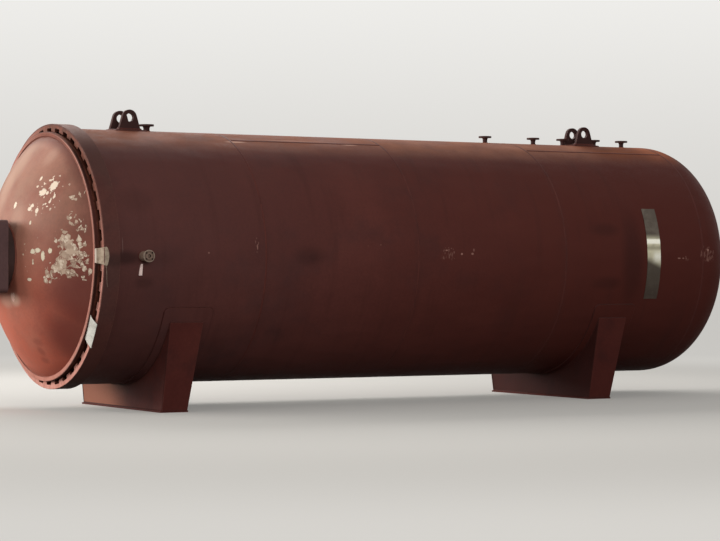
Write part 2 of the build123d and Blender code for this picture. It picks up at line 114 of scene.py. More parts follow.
# Shader helpers
class Wiring:
    """Places nodes in a tree and joins them."""

    def __init__(self, tree):
        self.tree = tree
        self.count = 0

    def feed(self, target, value):
        """Joins an output to an input, or sets the input to a plain value."""
        if isinstance(value, bpy.types.NodeSocket):
            self.tree.links.new(value, target)
        elif value is not None:
            target.default_value = value

    def node(self, kind, *given, **settings):
        """Adds a node with its settings and feeds its first inputs in turn."""
        made = self.tree.nodes.new(kind)
        self.count += 1
        made.location = (200 * (self.count % 8), -220 * (self.count // 8))
        for name, value in settings.items():
            setattr(made, name, value)
        for target, value in zip(made.inputs, given):
            self.feed(target, value)
        return made

    def math(self, operation, first, second=None, clamp=False):
        return self.node("ShaderNodeMath", first, second, operation=operation, use_clamp=clamp).outputs[0]

    def times(self, first, second):
        return self.math("MULTIPLY", first, second)

    def strongest(self, masks):
        """The highest of several masks."""
        return reduce(lambda most, mask: self.math("MAXIMUM", most, mask), masks)

    def vector(self, operation, first, second=None, scale=None):
        made = self.node("ShaderNodeVectorMath", first, second, None, scale, operation=operation)
        return made.outputs["Value" if operation in ("LENGTH", "DOT_PRODUCT") else "Vector"]

    def parts(self, value):
        """The three numbers of a vector."""
        return self.node("ShaderNodeSeparateXYZ", value).outputs

    def facing(self, axis):
        """How far the surface faces along one of the object's axes."""
        return self.parts(self.node("ShaderNodeTexCoord").outputs["Normal"])[axis]

    def mix(self, share, first, second):
        """A colour between two others."""
        made = self.node("ShaderNodeMix", share, data_type="RGBA")
        self.feed(made.inputs[6], first)
        self.feed(made.inputs[7], second)
        return made.outputs[2]

    def over(self, colour, *layers):
        """Lays more colours over a colour, each by its own mask."""
        for mask, laid in layers:
            colour = self.mix(mask, colour, laid)
        return colour

    def noise(self, place, scale, detail=3.0, roughness=0.55):
        return self.node("ShaderNodeTexNoise", place, None, scale, detail, roughness).outputs["Fac"]

    def ramp(self, value, low, high, to_low=0.0, to_high=1.0):
        """A smooth step from one value to another."""
        limits = (low, high, to_low, to_high)
        return self.node("ShaderNodeMapRange", value, *limits, interpolation_type="SMOOTHSTEP").outputs[0]

    def between(self, value, low, high, soft):
        """One between two limits, nought outside, over a soft edge."""
        over = self.ramp(value, low - soft, low + soft)
        return self.times(over, self.ramp(value, high - soft, high + soft, 1.0, 0.0))

    def group(self, tree, **values):
        made = self.node("ShaderNodeGroup", node_tree=tree)
        for name, value in values.items():
            self.feed(made.inputs[name.replace("_", " ").title()], value)
        return made.outputs


def new_group(name, inputs, outputs):
    """A node group with its wiring, its inputs' outputs and its output node."""
    tree = bpy.data.node_groups.new(name, "ShaderNodeTree")
    kinds = {1: "Float", 3: "Vector", 4: "Color"}
    for label, value in inputs.items():
        kind = kinds[len(value) if isinstance(value, tuple) else 1]
        made = tree.interface.new_socket(name=label, in_out="INPUT", socket_type=f"NodeSocket{kind}")
        made.default_value = value
    for label in outputs:
        kind = "Color" if label == "Colour" else "Float"
        tree.interface.new_socket(name=label, in_out="OUTPUT", socket_type=f"NodeSocket{kind}")
    wiring = Wiring(tree)
    given = wiring.node("NodeGroupInput").outputs
    result = wiring.node("NodeGroupOutput").inputs
    return tree, wiring, given, result


def build_primer_coat():
    """Rolled-on primer: slow fading and soot, small mottling, and the height of its grain."""
    tree, w, given, result = new_group(
        "primer_coat",
        {
            "Place": (0, 0, 0),
            "Paint": paint(110, 60, 52),
            "Faded": paint(130, 80, 70),
            "Sooty": paint(60, 40, 38),
            "Fading": 0.5,
            "Soot": 0.5,
            "Coarseness": 1.0,
        },
        ("Colour", "Roughness", "Height"),
    )
    slow = w.noise(given["Place"], w.times(given["Coarseness"], 0.9), 4.0)
    faded = w.times(w.ramp(slow, 0.42, 0.68), given["Fading"])
    colour = w.mix(faded, given["Paint"], given["Faded"])
    shifted = w.vector("ADD", given["Place"], (7.3, 2.1, 4.7))
    smoke = w.noise(shifted, w.times(given["Coarseness"], 1.6), 5.0, 0.6)
    sooty = w.times(w.ramp(smoke, 0.48, 0.72), given["Soot"])
    colour = w.mix(sooty, colour, given["Sooty"])
    grain = w.noise(given["Place"], 38.0, 4.0, 0.65)
    speck = w.ramp(grain, 0.3, 0.7, 0.93, 1.07)
    w.feed(result["Colour"], w.vector("SCALE", colour, scale=speck))
    w.feed(result["Roughness"], w.ramp(grain, 0.25, 0.75, 0.5, 0.68))
    fine = w.noise(given["Place"], 160.0, 2.0, 0.5)
    w.feed(result["Height"], w.math("ADD", w.times(grain, 0.6), w.times(fine, 0.4)))
    return tree


def build_spot():
    """A soft spot about a centre, one in its middle and nought past its reach."""
    tree, w, given, result = new_group(
        "soft_spot",
        {"Place": (0, 0, 0), "Centre": (0, 0, 0), "Reach": (1, 1, 1), "Strength": 1.0},
        ("Mask",),
    )
    away = w.vector("DIVIDE", w.vector("SUBTRACT", given["Place"], given["Centre"]), given["Reach"])
    inside = w.ramp(w.vector("LENGTH", away), 0.25, 1.0, 1.0, 0.0)
    w.feed(result["Mask"], w.times(inside, given["Strength"]))
    return tree


def build_torn_edge():
    """Turns a soft mask into a patch with a ragged edge."""
    tree, w, given, result = new_group(
        "torn_edge", {"Place": (0, 0, 0), "Soft": 0.5, "Tear Size": 0.02, "Tear": 0.6}, ("Mask",)
    )
    torn = w.noise(given["Place"], w.math("DIVIDE", 1.0, given["Tear Size"]), 4.0, 0.65)
    shift = w.times(w.math("SUBTRACT", torn, 0.5), given["Tear"])
    over = w.math("SUBTRACT", w.math("ADD", given["Soft"], shift), 0.5)
    w.feed(result["Mask"], w.ramp(over, 0.0, 0.05))
    return tree


def build_shards():
    """Flaked paint: angular shards, most of them gone where the given share is high, with cracks between."""
    tree, w, given, result = new_group(
        "flaked_shards", {"Place": (0, 0, 0), "Share": 0.5, "Shard Size": 0.05}, ("Mask", "Tone")
    )
    scale = w.math("DIVIDE", 1.0, given["Shard Size"])
    wave = w.node("ShaderNodeTexNoise", given["Place"], None, w.times(scale, 0.9), 4.0)
    bent = w.vector("SUBTRACT", wave.outputs["Color"], (0.5, 0.5, 0.5))
    bent = w.vector("SCALE", w.vector("SCALE", bent, scale=given["Shard Size"]), scale=1.3)
    bent = w.vector("ADD", given["Place"], bent)
    cells = w.node("ShaderNodeTexVoronoi", bent, None, scale, feature="F1")
    cracks = w.node("ShaderNodeTexVoronoi", bent, None, scale, feature="DISTANCE_TO_EDGE")
    draw = w.parts(cells.outputs["Color"])
    w.feed(result["Tone"], draw["Y"])
    gone = w.ramp(w.math("SUBTRACT", given["Share"], draw["X"]), 0.0, 0.03)
    cracked = w.ramp(cracks.outputs["Distance"], 0.015, 0.06)
    apart = w.math("MAXIMUM", cracked, w.ramp(given["Share"], 0.82, 0.98))
    w.feed(result["Mask"], w.times(gone, apart))
    return tree


def build_edge_wear():
    """How worn an edge is: high where the surface turns within a short way."""
    tree, w, given, result = new_group(
        "edge_wear", {"Place": (0, 0, 0), "Width": 0.006, "Amount": 1.0}, ("Mask",)
    )
    bevel = w.node("ShaderNodeBevel", given["Width"], samples=4)
    flat = w.node("ShaderNodeNewGeometry").outputs["Normal"]
    turn = w.math("SUBTRACT", 1.0, w.vector("DOT_PRODUCT", bevel.outputs["Normal"], flat))
    broken = w.ramp(w.noise(given["Place"], 22.0, 4.0, 0.7), 0.35, 0.62, 0.25, 1.0)
    worn = w.times(w.ramp(turn, 0.02, 0.16), broken)
    w.feed(result["Mask"], w.math("MULTIPLY", worn, given["Amount"], clamp=True))
    return tree


def build_dust():
    """Pale dust on what faces up, thicker in places."""
    tree, w, given, result = new_group(
        "settled_dust",
        {"Place": (0, 0, 0), "Colour": paint(90, 60, 55), "Dust": paint(150, 125, 112), "Amount": 0.5},
        ("Colour", "Mask"),
    )
    upward = w.ramp(w.facing("Z"), 0.78, 0.97)
    patchy = w.ramp(w.noise(given["Place"], 3.2, 5.0, 0.6), 0.3, 0.7, 0.55, 1.0)
    share = w.math("MULTIPLY", w.times(upward, patchy), given["Amount"], clamp=True)
    w.feed(result["Colour"], w.mix(share, given["Colour"], given["Dust"]))
    w.feed(result["Mask"], share)
    return tree


primer_coat = build_primer_coat()
soft_spot = build_spot()
torn_edge = build_torn_edge()
flaked_shards = build_shards()
edge_wear = build_edge_wear()
settled_dust = build_dust()


def new_finish(name, specular=0.08):
    """A material with its wiring, its Principled shader and its object coordinates."""
    material = bpy.data.materials.new(name)
    material.use_nodes = True
    tree = material.node_tree
    tree.nodes.clear()
    w = Wiring(tree)
    shader = w.node("ShaderNodeBsdfPrincipled")
    shader.inputs["Specular IOR Level"].default_value = specular
    output = w.node("ShaderNodeOutputMaterial")
    tree.links.new(shader.outputs[0], output.inputs["Surface"])
    place = w.node("ShaderNodeTexCoord").outputs["Object"]
    return material, w, shader, place


def dress(w, shader, colour, roughness, height, depth):
    """Feeds a colour, a roughness and a grain of the given depth into a shader."""
    w.feed(shader.inputs["Base Color"], colour)
    w.feed(shader.inputs["Roughness"], roughness)
    bump = w.node("ShaderNodeBump")
    bump.inputs["Distance"].default_value = depth
    w.feed(bump.inputs["Height"], height)
    w.feed(shader.inputs["Normal"], bump.outputs[0])


def coat_of(w, place, fresh, faded, sooty, fading=0.5, soot=0.5, coarseness=2.5):
    """The primer coat in three colours, with how much of it has faded and is sooty."""
    paints = {"paint": fresh, "faded": faded, "sooty": sooty}
    return w.group(primer_coat, place=place, fading=fading, soot=soot, coarseness=coarseness, **paints)


def spots(w, place, listed):
    """The strongest of several soft spots, each given by centre, reach and strength."""
    return w.strongest(
        w.group(soft_spot, place=place, centre=centre, reach=reach, strength=strength)["Mask"]
        for centre, reach, strength in listed
    )


def from_axis(w, place):
    """A place's distance from the vessel's axis."""
    across = w.vector("MULTIPLY", w.vector("SUBTRACT", place, (0, 0, axis_height)), (0, 1, 1))
    return w.vector("LENGTH", across)


def primed(name, fresh, faded, sooty, soot=0.5, wear=0.0, lit_foot_paint=None):
    """Plain primer for a fitting: coat, dust on top, worn edges, and a painted pool of light over the lower
    far part of its foot.
    """
    material, w, shader, place = new_finish(name)
    coat = coat_of(w, place, paint(*fresh), paint(*faded), paint(*sooty), soot=soot)
    dusty = w.group(settled_dust, place=place, colour=coat["Colour"], dust=paint(126, 94, 84), amount=0.35)
    shown = dusty["Colour"]
    # A painted pool of light on the lower far part
    if lit_foot_paint:
        along = w.parts(place)
        foot = w.times(w.ramp(along["Z"], 0.08, 0.62, 1.0, 0.0), w.ramp(along["Y"], -0.25, 0.35))
        shown = w.mix(foot, shown, lit_foot_paint)
    if wear:
        worn = w.group(edge_wear, place=place, width=0.007, amount=wear)["Mask"]
        shown = w.mix(worn, shown, worn_edge)
    dress(w, shader, shown, coat["Roughness"], coat["Height"], 0.0015)
    return material


# Spots on the shell's near side, each as its place along and up, its width, its height and its strength
sliver_places = (
    (6.31, 1.56, 0.14, 0.11, 0.62),
    (6.04, 1.52, 0.09, 0.03, 0.4),
    (2.96, 1.55, 0.13, 0.09, 0.3),
    (0.735, 1.64, 0.03, 0.10, 0.5),
    (-0.84, 0.88, 0.035, 0.012, 0.9),
)
mark_places = (
    (0.205, 1.550, 0.020, 0.018, 0.65),
    (0.737, 1.610, 0.012, 0.055, 0.75),
    (0.700, 1.690, 0.012, 0.035, 0.4),
    (1.380, 1.585, 0.020, 0.018, 0.45),
    (1.990, 1.630, 0.024, 0.018, 0.5),
    (2.140, 1.640, 0.024, 0.018, 0.55),
    (2.906, 1.588, 0.060, 0.014, 0.45),
    (2.925, 1.590, 0.026, 0.013, 0.9),
    (3.014, 1.635, 0.045, 0.013, 0.4),
    (2.995, 1.510, 0.016, 0.045, 0.5),
    (3.110, 1.553, 0.022, 0.020, 0.95),
    (3.240, 1.555, 0.030, 0.022, 0.75),
    (3.258, 1.595, 0.020, 0.040, 0.6),
    (5.920, 1.520, 0.038, 0.014, 0.85),
    (5.975, 1.520, 0.022, 0.016, 0.75),
    (6.050, 1.520, 0.050, 0.016, 0.35),
    (6.320, 1.612, 0.026, 0.024, 0.95),
    (6.275, 1.590, 0.016, 0.045, 0.55),
    (6.390, 1.600, 0.026, 0.026, 0.45),
    (6.320, 1.500, 0.018, 0.050, 0.6),
    (6.255, 1.490, 0.026, 0.026, 0.5),
    (6.370, 1.555, 0.016, 0.040, 0.4),
    (4.920, 1.018, 0.050, 0.012, 0.5),
)
# Dark spots: soot and smears, and painted shadows left of the side nozzle (at -0.69) and left of the bare
# strip (at 5.3)
stain_and_shadow_places = (
    (1.33, 1.525, 0.24, 0.13, 0.32),
    (1.36, 1.515, 0.11, 0.08, 0.42),
    (-0.52, 2.05, 0.24, 0.18, 0.2),
    (-0.47, 1.26, 0.14, 0.08, 0.28),
    (-0.69, 1.50, 0.26, 0.10, 0.6),
    (4.95, 1.82, 0.26, 0.10, 0.3),
    (4.98, 1.25, 0.28, 0.10, 0.3),
    (5.3, 1.5, 0.20, 0.70, 0.4),
)
# Crown spots where the dust is paler: dust, and painted sheen
crown_pale_sheen_places = (
    (-0.05, 2.69, 0.35, 0.10, 0.35),
    (2.03, 2.71, 0.40, 0.08, 0.3),
    (3.20, 2.72, 0.35, 0.07, 0.25),
    (4.16, 2.72, 0.35, 0.07, 0.35),
)
# Crown spots where the dust is darker: dust, and painted sheen that is weaker there
crown_dark_places = (
    (0.48, 2.70, 0.34, 0.06, 0.4),
    (5.54, 2.74, 0.30, 0.06, 0.35),
)
# Painted highlight streaks along the crown by the near long seam
crown_highlight_streaks = (
    (0.88, 2.672, 0.15, 0.012, 0.8),
    (1.50, 2.707, 0.45, 0.007, 0.35),
    (2.22, 2.680, 0.12, 0.010, 0.6),
)


def shell_spots(w, place, listed, depth=0.5):
    """A mask of soft spots on the shell's near side."""
    made = []
    for x, z, width, height, strength in listed:
        made.append((on_near_side(x, shell_radius, z - axis_height), (width, depth, height), strength))
    return spots(w, place, made)


def build_shell_finish():
    """Red oxide primer on rolled plate, darkened with soot and painted shadows, scuffed at chest height, with
    dust and painted sheen along the crown.
    """
    material, w, shader, place = new_finish("shell_primer_rolled")
    coat = coat_of(w, place, shell_paint, shell_faded, shell_sooty, fading=0.6, coarseness=1.0)
    along = w.parts(place)
    stretched = w.vector("MULTIPLY", place, (6.0, 0.8, 0.7))
    runs = w.ramp(w.noise(stretched, 1.0, 5.0, 0.6), 0.5, 0.74, 0.0, 0.3)
    seam_band = w.strongest(w.between(along["X"], x - 0.05, x + 0.05, 0.02) for x in seam_places)
    brushed = w.times(seam_band, w.ramp(w.noise(place, 9.0, 4.0, 0.7), 0.4, 0.65, 0.05, 0.25))
    squeezed = w.vector("MULTIPLY", place, (2.4, 1.0, 0.8))
    share = shell_spots(w, place, sliver_places)
    slivers = w.group(flaked_shards, place=squeezed, share=share, shard_size=0.03)["Mask"]
    marked = shell_spots(w, place, mark_places)
    marks = w.group(torn_edge, place=place, soft=marked, tear_size=0.02, tear=0.4)["Mask"]
    # A thin pale vertical line on the near side just past the ring: a painted glint
    glint_line = w.times(w.between(along["X"], -0.708, -0.704, 0.002), w.between(along["Z"], 1.55, 1.68, 0.03))
    colour = w.over(
        coat["Colour"],
        (w.ramp(along["X"], -1.0, 3.0, 0.4, 0.0), paint(86, 62, 61)),
        (w.ramp(along["X"], 1.5, 5.5, 0.0, 0.85), paint(84, 40, 34)),
        (runs, paint(66, 37, 34)),
        (brushed, paint(78, 46, 42)),
        (w.times(slivers, 0.5), paint(150, 110, 100)),
        (w.times(marks, w.ramp(marked, 0.3, 1.0, 0.2, 0.75)), paint(176, 132, 120)),
        (w.times(glint_line, 0.8), paint(136, 112, 106)),
        # Soot, smears and painted shadows
        (shell_spots(w, place, stain_and_shadow_places), paint(38, 24, 23)),
    )
    # Dust on what faces up, its colour changing along the vessel and in spots: dust, and painted sheen along
    # the crown
    dust = w.over(
        paint(153, 99, 78),
        (w.ramp(along["X"], 2.0, 3.2), paint(164, 114, 94)),
        (w.ramp(along["X"], 5.1, 5.5), paint(138, 84, 61)),
        (w.ramp(along["X"], 5.9, 6.2), paint(176, 108, 80)),
        (shell_spots(w, place, crown_pale_sheen_places, crown_depth), paint(196, 146, 130)),
        (shell_spots(w, place, crown_dark_places, crown_depth), paint(98, 62, 48)),
    )
    dusty = w.group(settled_dust, place=place, colour=colour, dust=dust, amount=0.92)
    # Painted highlight streaks on the crown
    colour = w.mix(shell_spots(w, place, crown_highlight_streaks, crown_depth), dusty["Colour"], paint(216, 172, 154))
    w.feed(shader.inputs["Specular IOR Level"], w.ramp(dusty["Mask"], 0.0, 0.8, 0.07, 0.01))
    plate_wave = w.noise(w.vector("MULTIPLY", place, (0.8, 1.6, 1.6)), 1.3, 2.0, 0.5)
    height = w.math("ADD", w.times(coat["Height"], 0.05), plate_wave)
    dress(w, shader, colour, coat["Roughness"], height, 0.03)
    return material


# Spots on the dish, each as its place across and up from the door's middle, its width, its height
# and, where it isn't one, its strength
cream_chips = (
    (-0.46, 0.75, 0.03, 0.04),
    (-0.46, 0.67, 0.03, 0.02),
    (-0.668, 0.672, 0.082, 0.092),
    (-0.565, 0.612, 0.082, 0.066),
    (-0.625, 0.606, 0.035, 0.035),
    (-0.72, 0.57, 0.025, 0.04),
    (-0.69, 0.52, 0.025, 0.03),
    (-0.455, 0.455, 0.05, 0.04),
    (-0.48, 0.485, 0.045, 0.035),
    (-0.56, 0.435, 0.04, 0.05),
    (-0.195, 0.495, 0.045, 0.06),
    (-0.51, 0.32, 0.025, 0.04),
    (-0.585, 0.045, 0.055, 0.045),
    (-0.645, 0.055, 0.06, 0.045),
    (-0.71, 0.00, 0.04, 0.09),
    (-0.79, 0.05, 0.045, 0.05),
    (-0.52, -0.225, 0.055, 0.03),
    (-0.195, -0.40, 0.055, 0.075),
    (-0.225, -0.375, 0.03, 0.04),
)
grey_patches = (
    (-0.93, 0.545, 0.10, 0.045, 0.75),
    (-0.975, 0.605, 0.035, 0.06, 0.6),
    (-0.96, 0.385, 0.09, 0.07, 0.8),
    (-1.0, 0.325, 0.08, 0.06, 0.75),
    (-1.07, 0.245, 0.06, 0.08, 0.7),
    (-0.905, 0.175, 0.13, 0.09, 0.8),
    (-0.965, 0.12, 0.13, 0.11, 0.95),
    (-1.06, 0.11, 0.10, 0.10, 0.7),
    (-1.0, 0.055, 0.13, 0.12, 1.0),
    (-0.95, 0.015, 0.12, 0.10, 1.0),
    (-1.075, -0.005, 0.09, 0.10, 0.75),
    (-1.02, -0.06, 0.11, 0.09, 0.85),
    (-0.925, -0.06, 0.13, 0.10, 1.0),
    (-0.865, -0.115, 0.13, 0.09, 1.0),
    (-0.81, -0.17, 0.12, 0.08, 0.9),
    (-0.745, -0.235, 0.09, 0.07, 0.8),
    (-0.96, -0.16, 0.12, 0.08, 0.75),
    (-1.02, -0.185, 0.06, 0.05, 0.6),
    (-1.125, -0.13, 0.05, 0.08, 0.6),
    (-1.10, -0.20, 0.05, 0.04, 0.55),
)
# Painted sheen on the dish: pale spots high on it and in its middle, and a glow below the hub
dish_sheen_places = (
    (0.10, 0.92, 0.24, 0.30, 0.3),
    (0.18, 0.70, 0.24, 0.40, 0.35),
    (-0.42, 0.97, 0.12, 0.14, 0.25),
    (-0.29, 0.36, 0.15, 0.18, 0.2),
    (-0.22, -0.42, 0.14, 0.09, 0.7),
    (-0.05, -0.43, 0.22, 0.10, 0.4),
)
# Painted shade in creases low on the dish's near side
crease_shade_places = (
    (-0.35, -0.83, 0.10, 0.06, 0.35),
    (-0.32, -0.92, 0.07, 0.07, 0.4),
    (-0.29, -1.01, 0.09, 0.05, 0.35),
)
# Painted shade on the dish: broad over its near side, and beside the hub on the arm's side
dish_shade_places = (
    (-1.12, -0.46, 0.62, 0.80, 0.8),
    (-0.84, -0.80, 0.52, 0.48, 0.75),
    (-1.12, 0.30, 0.24, 0.65, 0.3),
)
sprinkled_places = (
    (-0.62, 0.58, 0.28, 0.30, 0.09),
    (-0.62, -0.05, 0.30, 0.35, 0.05),
)


def dish_spots(w, place, listed, x=dish_low.x, spread=1.0):
    """A mask of soft spots on the dish, made wider or narrower by a spread."""
    made = []
    for across, up, width, height, *strength in listed:
        reach = (2.0, width * spread, height * spread)
        made.append(((x, across, axis_height + up), reach, strength[0] if strength else 1.0))
    return spots(w, place, made)


def build_dish_finish():
    """Primer on the door's dish, brighter than the shell's in part as painted light, flaked in patches down
    to a pale undercoat.
    """
    material, w, shader, place = new_finish("dish_primer_flaked", 0.12)
    across = w.parts(place)["Y"]
    up = w.math("SUBTRACT", w.parts(place)["Z"], axis_height)
    # Painted light and shade: the ground is lighter and more orange low down and on the far side, darkest
    # high up on the near side
    low_ground = w.mix(w.ramp(across, -0.5, 0.3), paint(170, 86, 67), paint(190, 105, 84))
    high_ground = w.mix(w.ramp(across, -1.15, -0.15), paint(109, 74, 62), paint(149, 111, 94))
    ground = w.mix(w.ramp(up, -0.8, 0.6), low_ground, high_ground)
    coat = coat_of(w, place, ground, paint(166, 112, 95), paint(132, 74, 63), soot=0.45, coarseness=1.4)
    # Painted shade over the near side and in the valley round the dish's edge, stronger high up
    dish_shade = dish_spots(w, place, dish_shade_places, dish_middle_x)
    valley = w.ramp(from_axis(w, place), dish_edge_radius - 0.11, dish_edge_radius - 0.01)
    rim_valley_shade = w.times(valley, w.ramp(up, 0.6, 1.1, 0.35, 0.7))
    colour = w.over(
        coat["Colour"],
        (dish_spots(w, place, crease_shade_places, dish_middle_x), paint(110, 58, 50)),
        (dish_spots(w, place, dish_sheen_places), paint(204, 170, 150)),
        (w.math("MAXIMUM", dish_shade, rim_valley_shade), paint(88, 42, 38)),
    )
    outside = w.ramp(w.facing("X"), -0.3, -0.1, 1.0, 0.0)
    lining = coat_of(w, place, paint(112, 62, 53), paint(140, 92, 78), paint(72, 40, 36), coarseness=1.2)
    colour = w.mix(outside, lining["Colour"], colour)
    patches = w.group(flaked_shards, place=place, share=dish_spots(w, place, grey_patches), shard_size=0.045)
    aside = w.vector("ADD", place, (5.0, 3.0, 1.0))
    fresh = w.group(flaked_shards, place=aside, share=0.34, shard_size=0.03)["Mask"]
    undercoat = w.mix(patches["Tone"], paint(154, 132, 114), paint(190, 168, 148))
    undercoat = w.mix(fresh, undercoat, paint(212, 196, 176))
    pale = w.times(patches["Mask"], outside)
    soft = dish_spots(w, place, cream_chips, spread=0.85)
    chips = w.group(torn_edge, place=place, soft=soft, tear_size=0.014, tear=1.6)["Mask"]
    share = dish_spots(w, place, sprinkled_places, dish_middle_x)
    aside = w.vector("ADD", place, (3.0, 1.0, 2.0))
    sprinkled = w.group(flaked_shards, place=aside, share=share, shard_size=0.02)["Mask"]
    chips = w.times(w.math("MAXIMUM", chips, sprinkled), outside)
    chip_colour = w.mix(w.ramp(up, 0.2, 0.5), paint(216, 204, 180), paint(230, 212, 192))
    # Chips low under the hub are pinkish white; with the sheen spot round them they are partly a painted
    # highlight
    chip_colour = w.mix(w.ramp(up, -0.35, -0.2, 1.0, 0.0), chip_colour, paint(224, 184, 168))
    colour = w.over(colour, (w.times(pale, 0.92), undercoat), (chips, chip_colour))
    gone = w.math("ADD", w.times(pale, 0.8), chips)
    dress(w, shader, colour, coat["Roughness"], w.math("SUBTRACT", w.times(coat["Height"], 0.6), gone), 0.002)
    return material


# A painted shadow of the side nozzle on the near side of the closure rings
closure_shadow_spots = (((-0.79, -1.3, 1.48), (0.22, 0.5, 0.10), 0.5),)


def build_closure_finish(
    name, face_paints, outer_paint, face_end, face_radius, greasy_start, greasy_radius, bright_radius
):
    """Primer on a ring of the closure: bright front face, partly painted light with a painted highlight and
    glare, dark round it, and grease inside.
    """
    face_high, face_low, highlight_paint = face_paints
    material, w, shader, place = new_finish(name, 0.05)
    coat = coat_of(w, place, outer_paint, shell_faded, shell_sooty, fading=0.4, soot=0.4, coarseness=2.0)
    along = w.parts(place)
    radius = from_axis(w, place)
    streaks = w.noise(w.vector("MULTIPLY", place, (4.0, 1.0, 1.0)), 11.0, 5.0, 0.7)
    # Painted light: the front face is lighter towards the bottom
    lower = w.ramp(along["Z"], axis_height - 0.5, axis_height + 0.9, 1.0, 0.0)
    # High up on the far side the face is lighter: a painted glare
    face_high = w.mix(w.ramp(along["Y"], -0.1, 0.8, 0.0, 0.7), face_high, paint(196, 142, 130))
    # A painted highlight along the outer edge of the face, strongest on the near side
    beside = w.ramp(along["Y"], -0.75, -0.15, 1.0, 0.15)
    edge_highlight = w.times(w.ramp(radius, bright_radius - 0.004, bright_radius + 0.004), beside)
    face = w.over(
        w.mix(lower, face_high, face_low),
        (w.ramp(streaks, 0.35, 0.65, 0.0, 0.45), paint(150, 88, 72)),
        (w.ramp(streaks, 0.6, 0.75, 0.0, 0.5), paint(98, 56, 49)),
        (edge_highlight, highlight_paint),
    )
    ahead = w.ramp(w.facing("X"), -0.6, -0.4, 1.0, 0.0)
    front = w.times(ahead, w.ramp(along["X"], face_end, face_end + 0.002, 1.0, 0.0))
    corner_share = w.ramp(along["Z"], axis_height - 0.75, axis_height - 0.35, 0.0, 0.75)
    corner = w.times(w.ramp(radius, face_radius - 0.003, face_radius + 0.003), corner_share)
    front = w.times(front, w.math("SUBTRACT", 1.0, corner))
    worn = w.group(edge_wear, place=place, width=0.006, amount=0.6)["Mask"]
    inner = w.ramp(radius, greasy_radius, greasy_radius + 0.002, 1.0, 0.0)
    hidden = w.times(w.ramp(along["X"], greasy_start, greasy_start + 0.004), inner)
    smears = w.ramp(w.noise(place, 16.0, 4.0, 0.6), 0.3, 0.7)
    colour = w.over(
        coat["Colour"],
        (front, face),
        (worn, worn_edge),
        (spots(w, place, closure_shadow_spots), paint(46, 36, 34)),
        (w.times(hidden, 0.92), w.mix(smears, paint(70, 38, 30), paint(108, 60, 47))),
    )
    dusty = w.group(settled_dust, place=place, colour=colour, dust=paint(140, 92, 76), amount=0.7)
    roughness = w.math("SUBTRACT", coat["Roughness"], w.times(hidden, 0.22))
    dress(w, shader, dusty["Colour"], roughness, coat["Height"], 0.0015)
    return material


def build_steel_finish():
    """Ground steel with fine scratches across it."""
    material, w, shader, place = new_finish("turned_steel", 0.5)
    lines = w.noise(w.vector("MULTIPLY", place, (12.0, 160.0, 160.0)), 3.0, 4.0, 0.7)
    cloudy = w.ramp(w.noise(place, 6.0, 4.0), 0.35, 0.7)
    colour = w.mix(cloudy, paint(120, 120, 118), paint(160, 160, 156))
    colour = w.vector("SCALE", colour, scale=w.ramp(lines, 0.2, 0.8, 0.82, 1.1))
    shader.inputs["Metallic"].default_value = 1.0
    dress(w, shader, colour, w.ramp(lines, 0.2, 0.8, 0.22, 0.4), lines, 0.0004)
    return material


def build_strip_finish():
    """Bare sheet steel, dull, with painted reflections across it: a bright stretch, a bright band and a
    bright edge below.
    """
    material, w, shader, place = new_finish("strip_bare_steel", 0.5)
    along = w.parts(place)
    lines = w.noise(w.vector("MULTIPLY", place, (14.0, 120.0, 120.0)), 3.0, 4.0, 0.7)
    cloudy = w.noise(place, 7.0, 4.0, 0.6)
    # The light and dark across the strip are painted reflections: bright above a slanted line, a bright band,
    # a bright edge low down, a duller band and a darker top
    slant = w.math("SUBTRACT", along["Z"], w.times(w.math("SUBTRACT", along["X"], 5.53), -0.4))
    dull = w.between(along["Z"], 1.610, 1.650, 0.02)
    band = w.between(along["Z"], 1.675, 1.725, 0.012)
    edge = w.times(w.between(along["Z"], 1.49, 1.58, 0.045), w.ramp(along["X"], 5.54, 5.61))
    bright = w.math("MAXIMUM", band, edge)
    colour = w.over(
        paint(80, 66, 58),
        (w.ramp(along["Z"], 1.0, 1.4), paint(90, 80, 70)),
        (w.ramp(slant, 1.45, 1.54), paint(222, 216, 186)),
        (w.ramp(along["Z"], 1.69, 1.79), paint(80, 69, 59)),
        (w.ramp(cloudy, 0.45, 0.75, 0.0, 0.45), paint(120, 110, 98)),
        (w.times(dull, 0.5), paint(108, 102, 82)),
        (bright, paint(252, 250, 236)),
    )
    colour = w.vector("SCALE", colour, scale=w.ramp(lines, 0.2, 0.8, 0.9, 1.05))
    w.feed(shader.inputs["Metallic"], w.ramp(bright, 0.0, 1.0, 0.45, 0.9))
    height = w.math("ADD", lines, w.times(cloudy, 2.0))
    dress(w, shader, colour, w.ramp(lines, 0.2, 0.8, 0.34, 0.5), height, 0.0006)
    return material


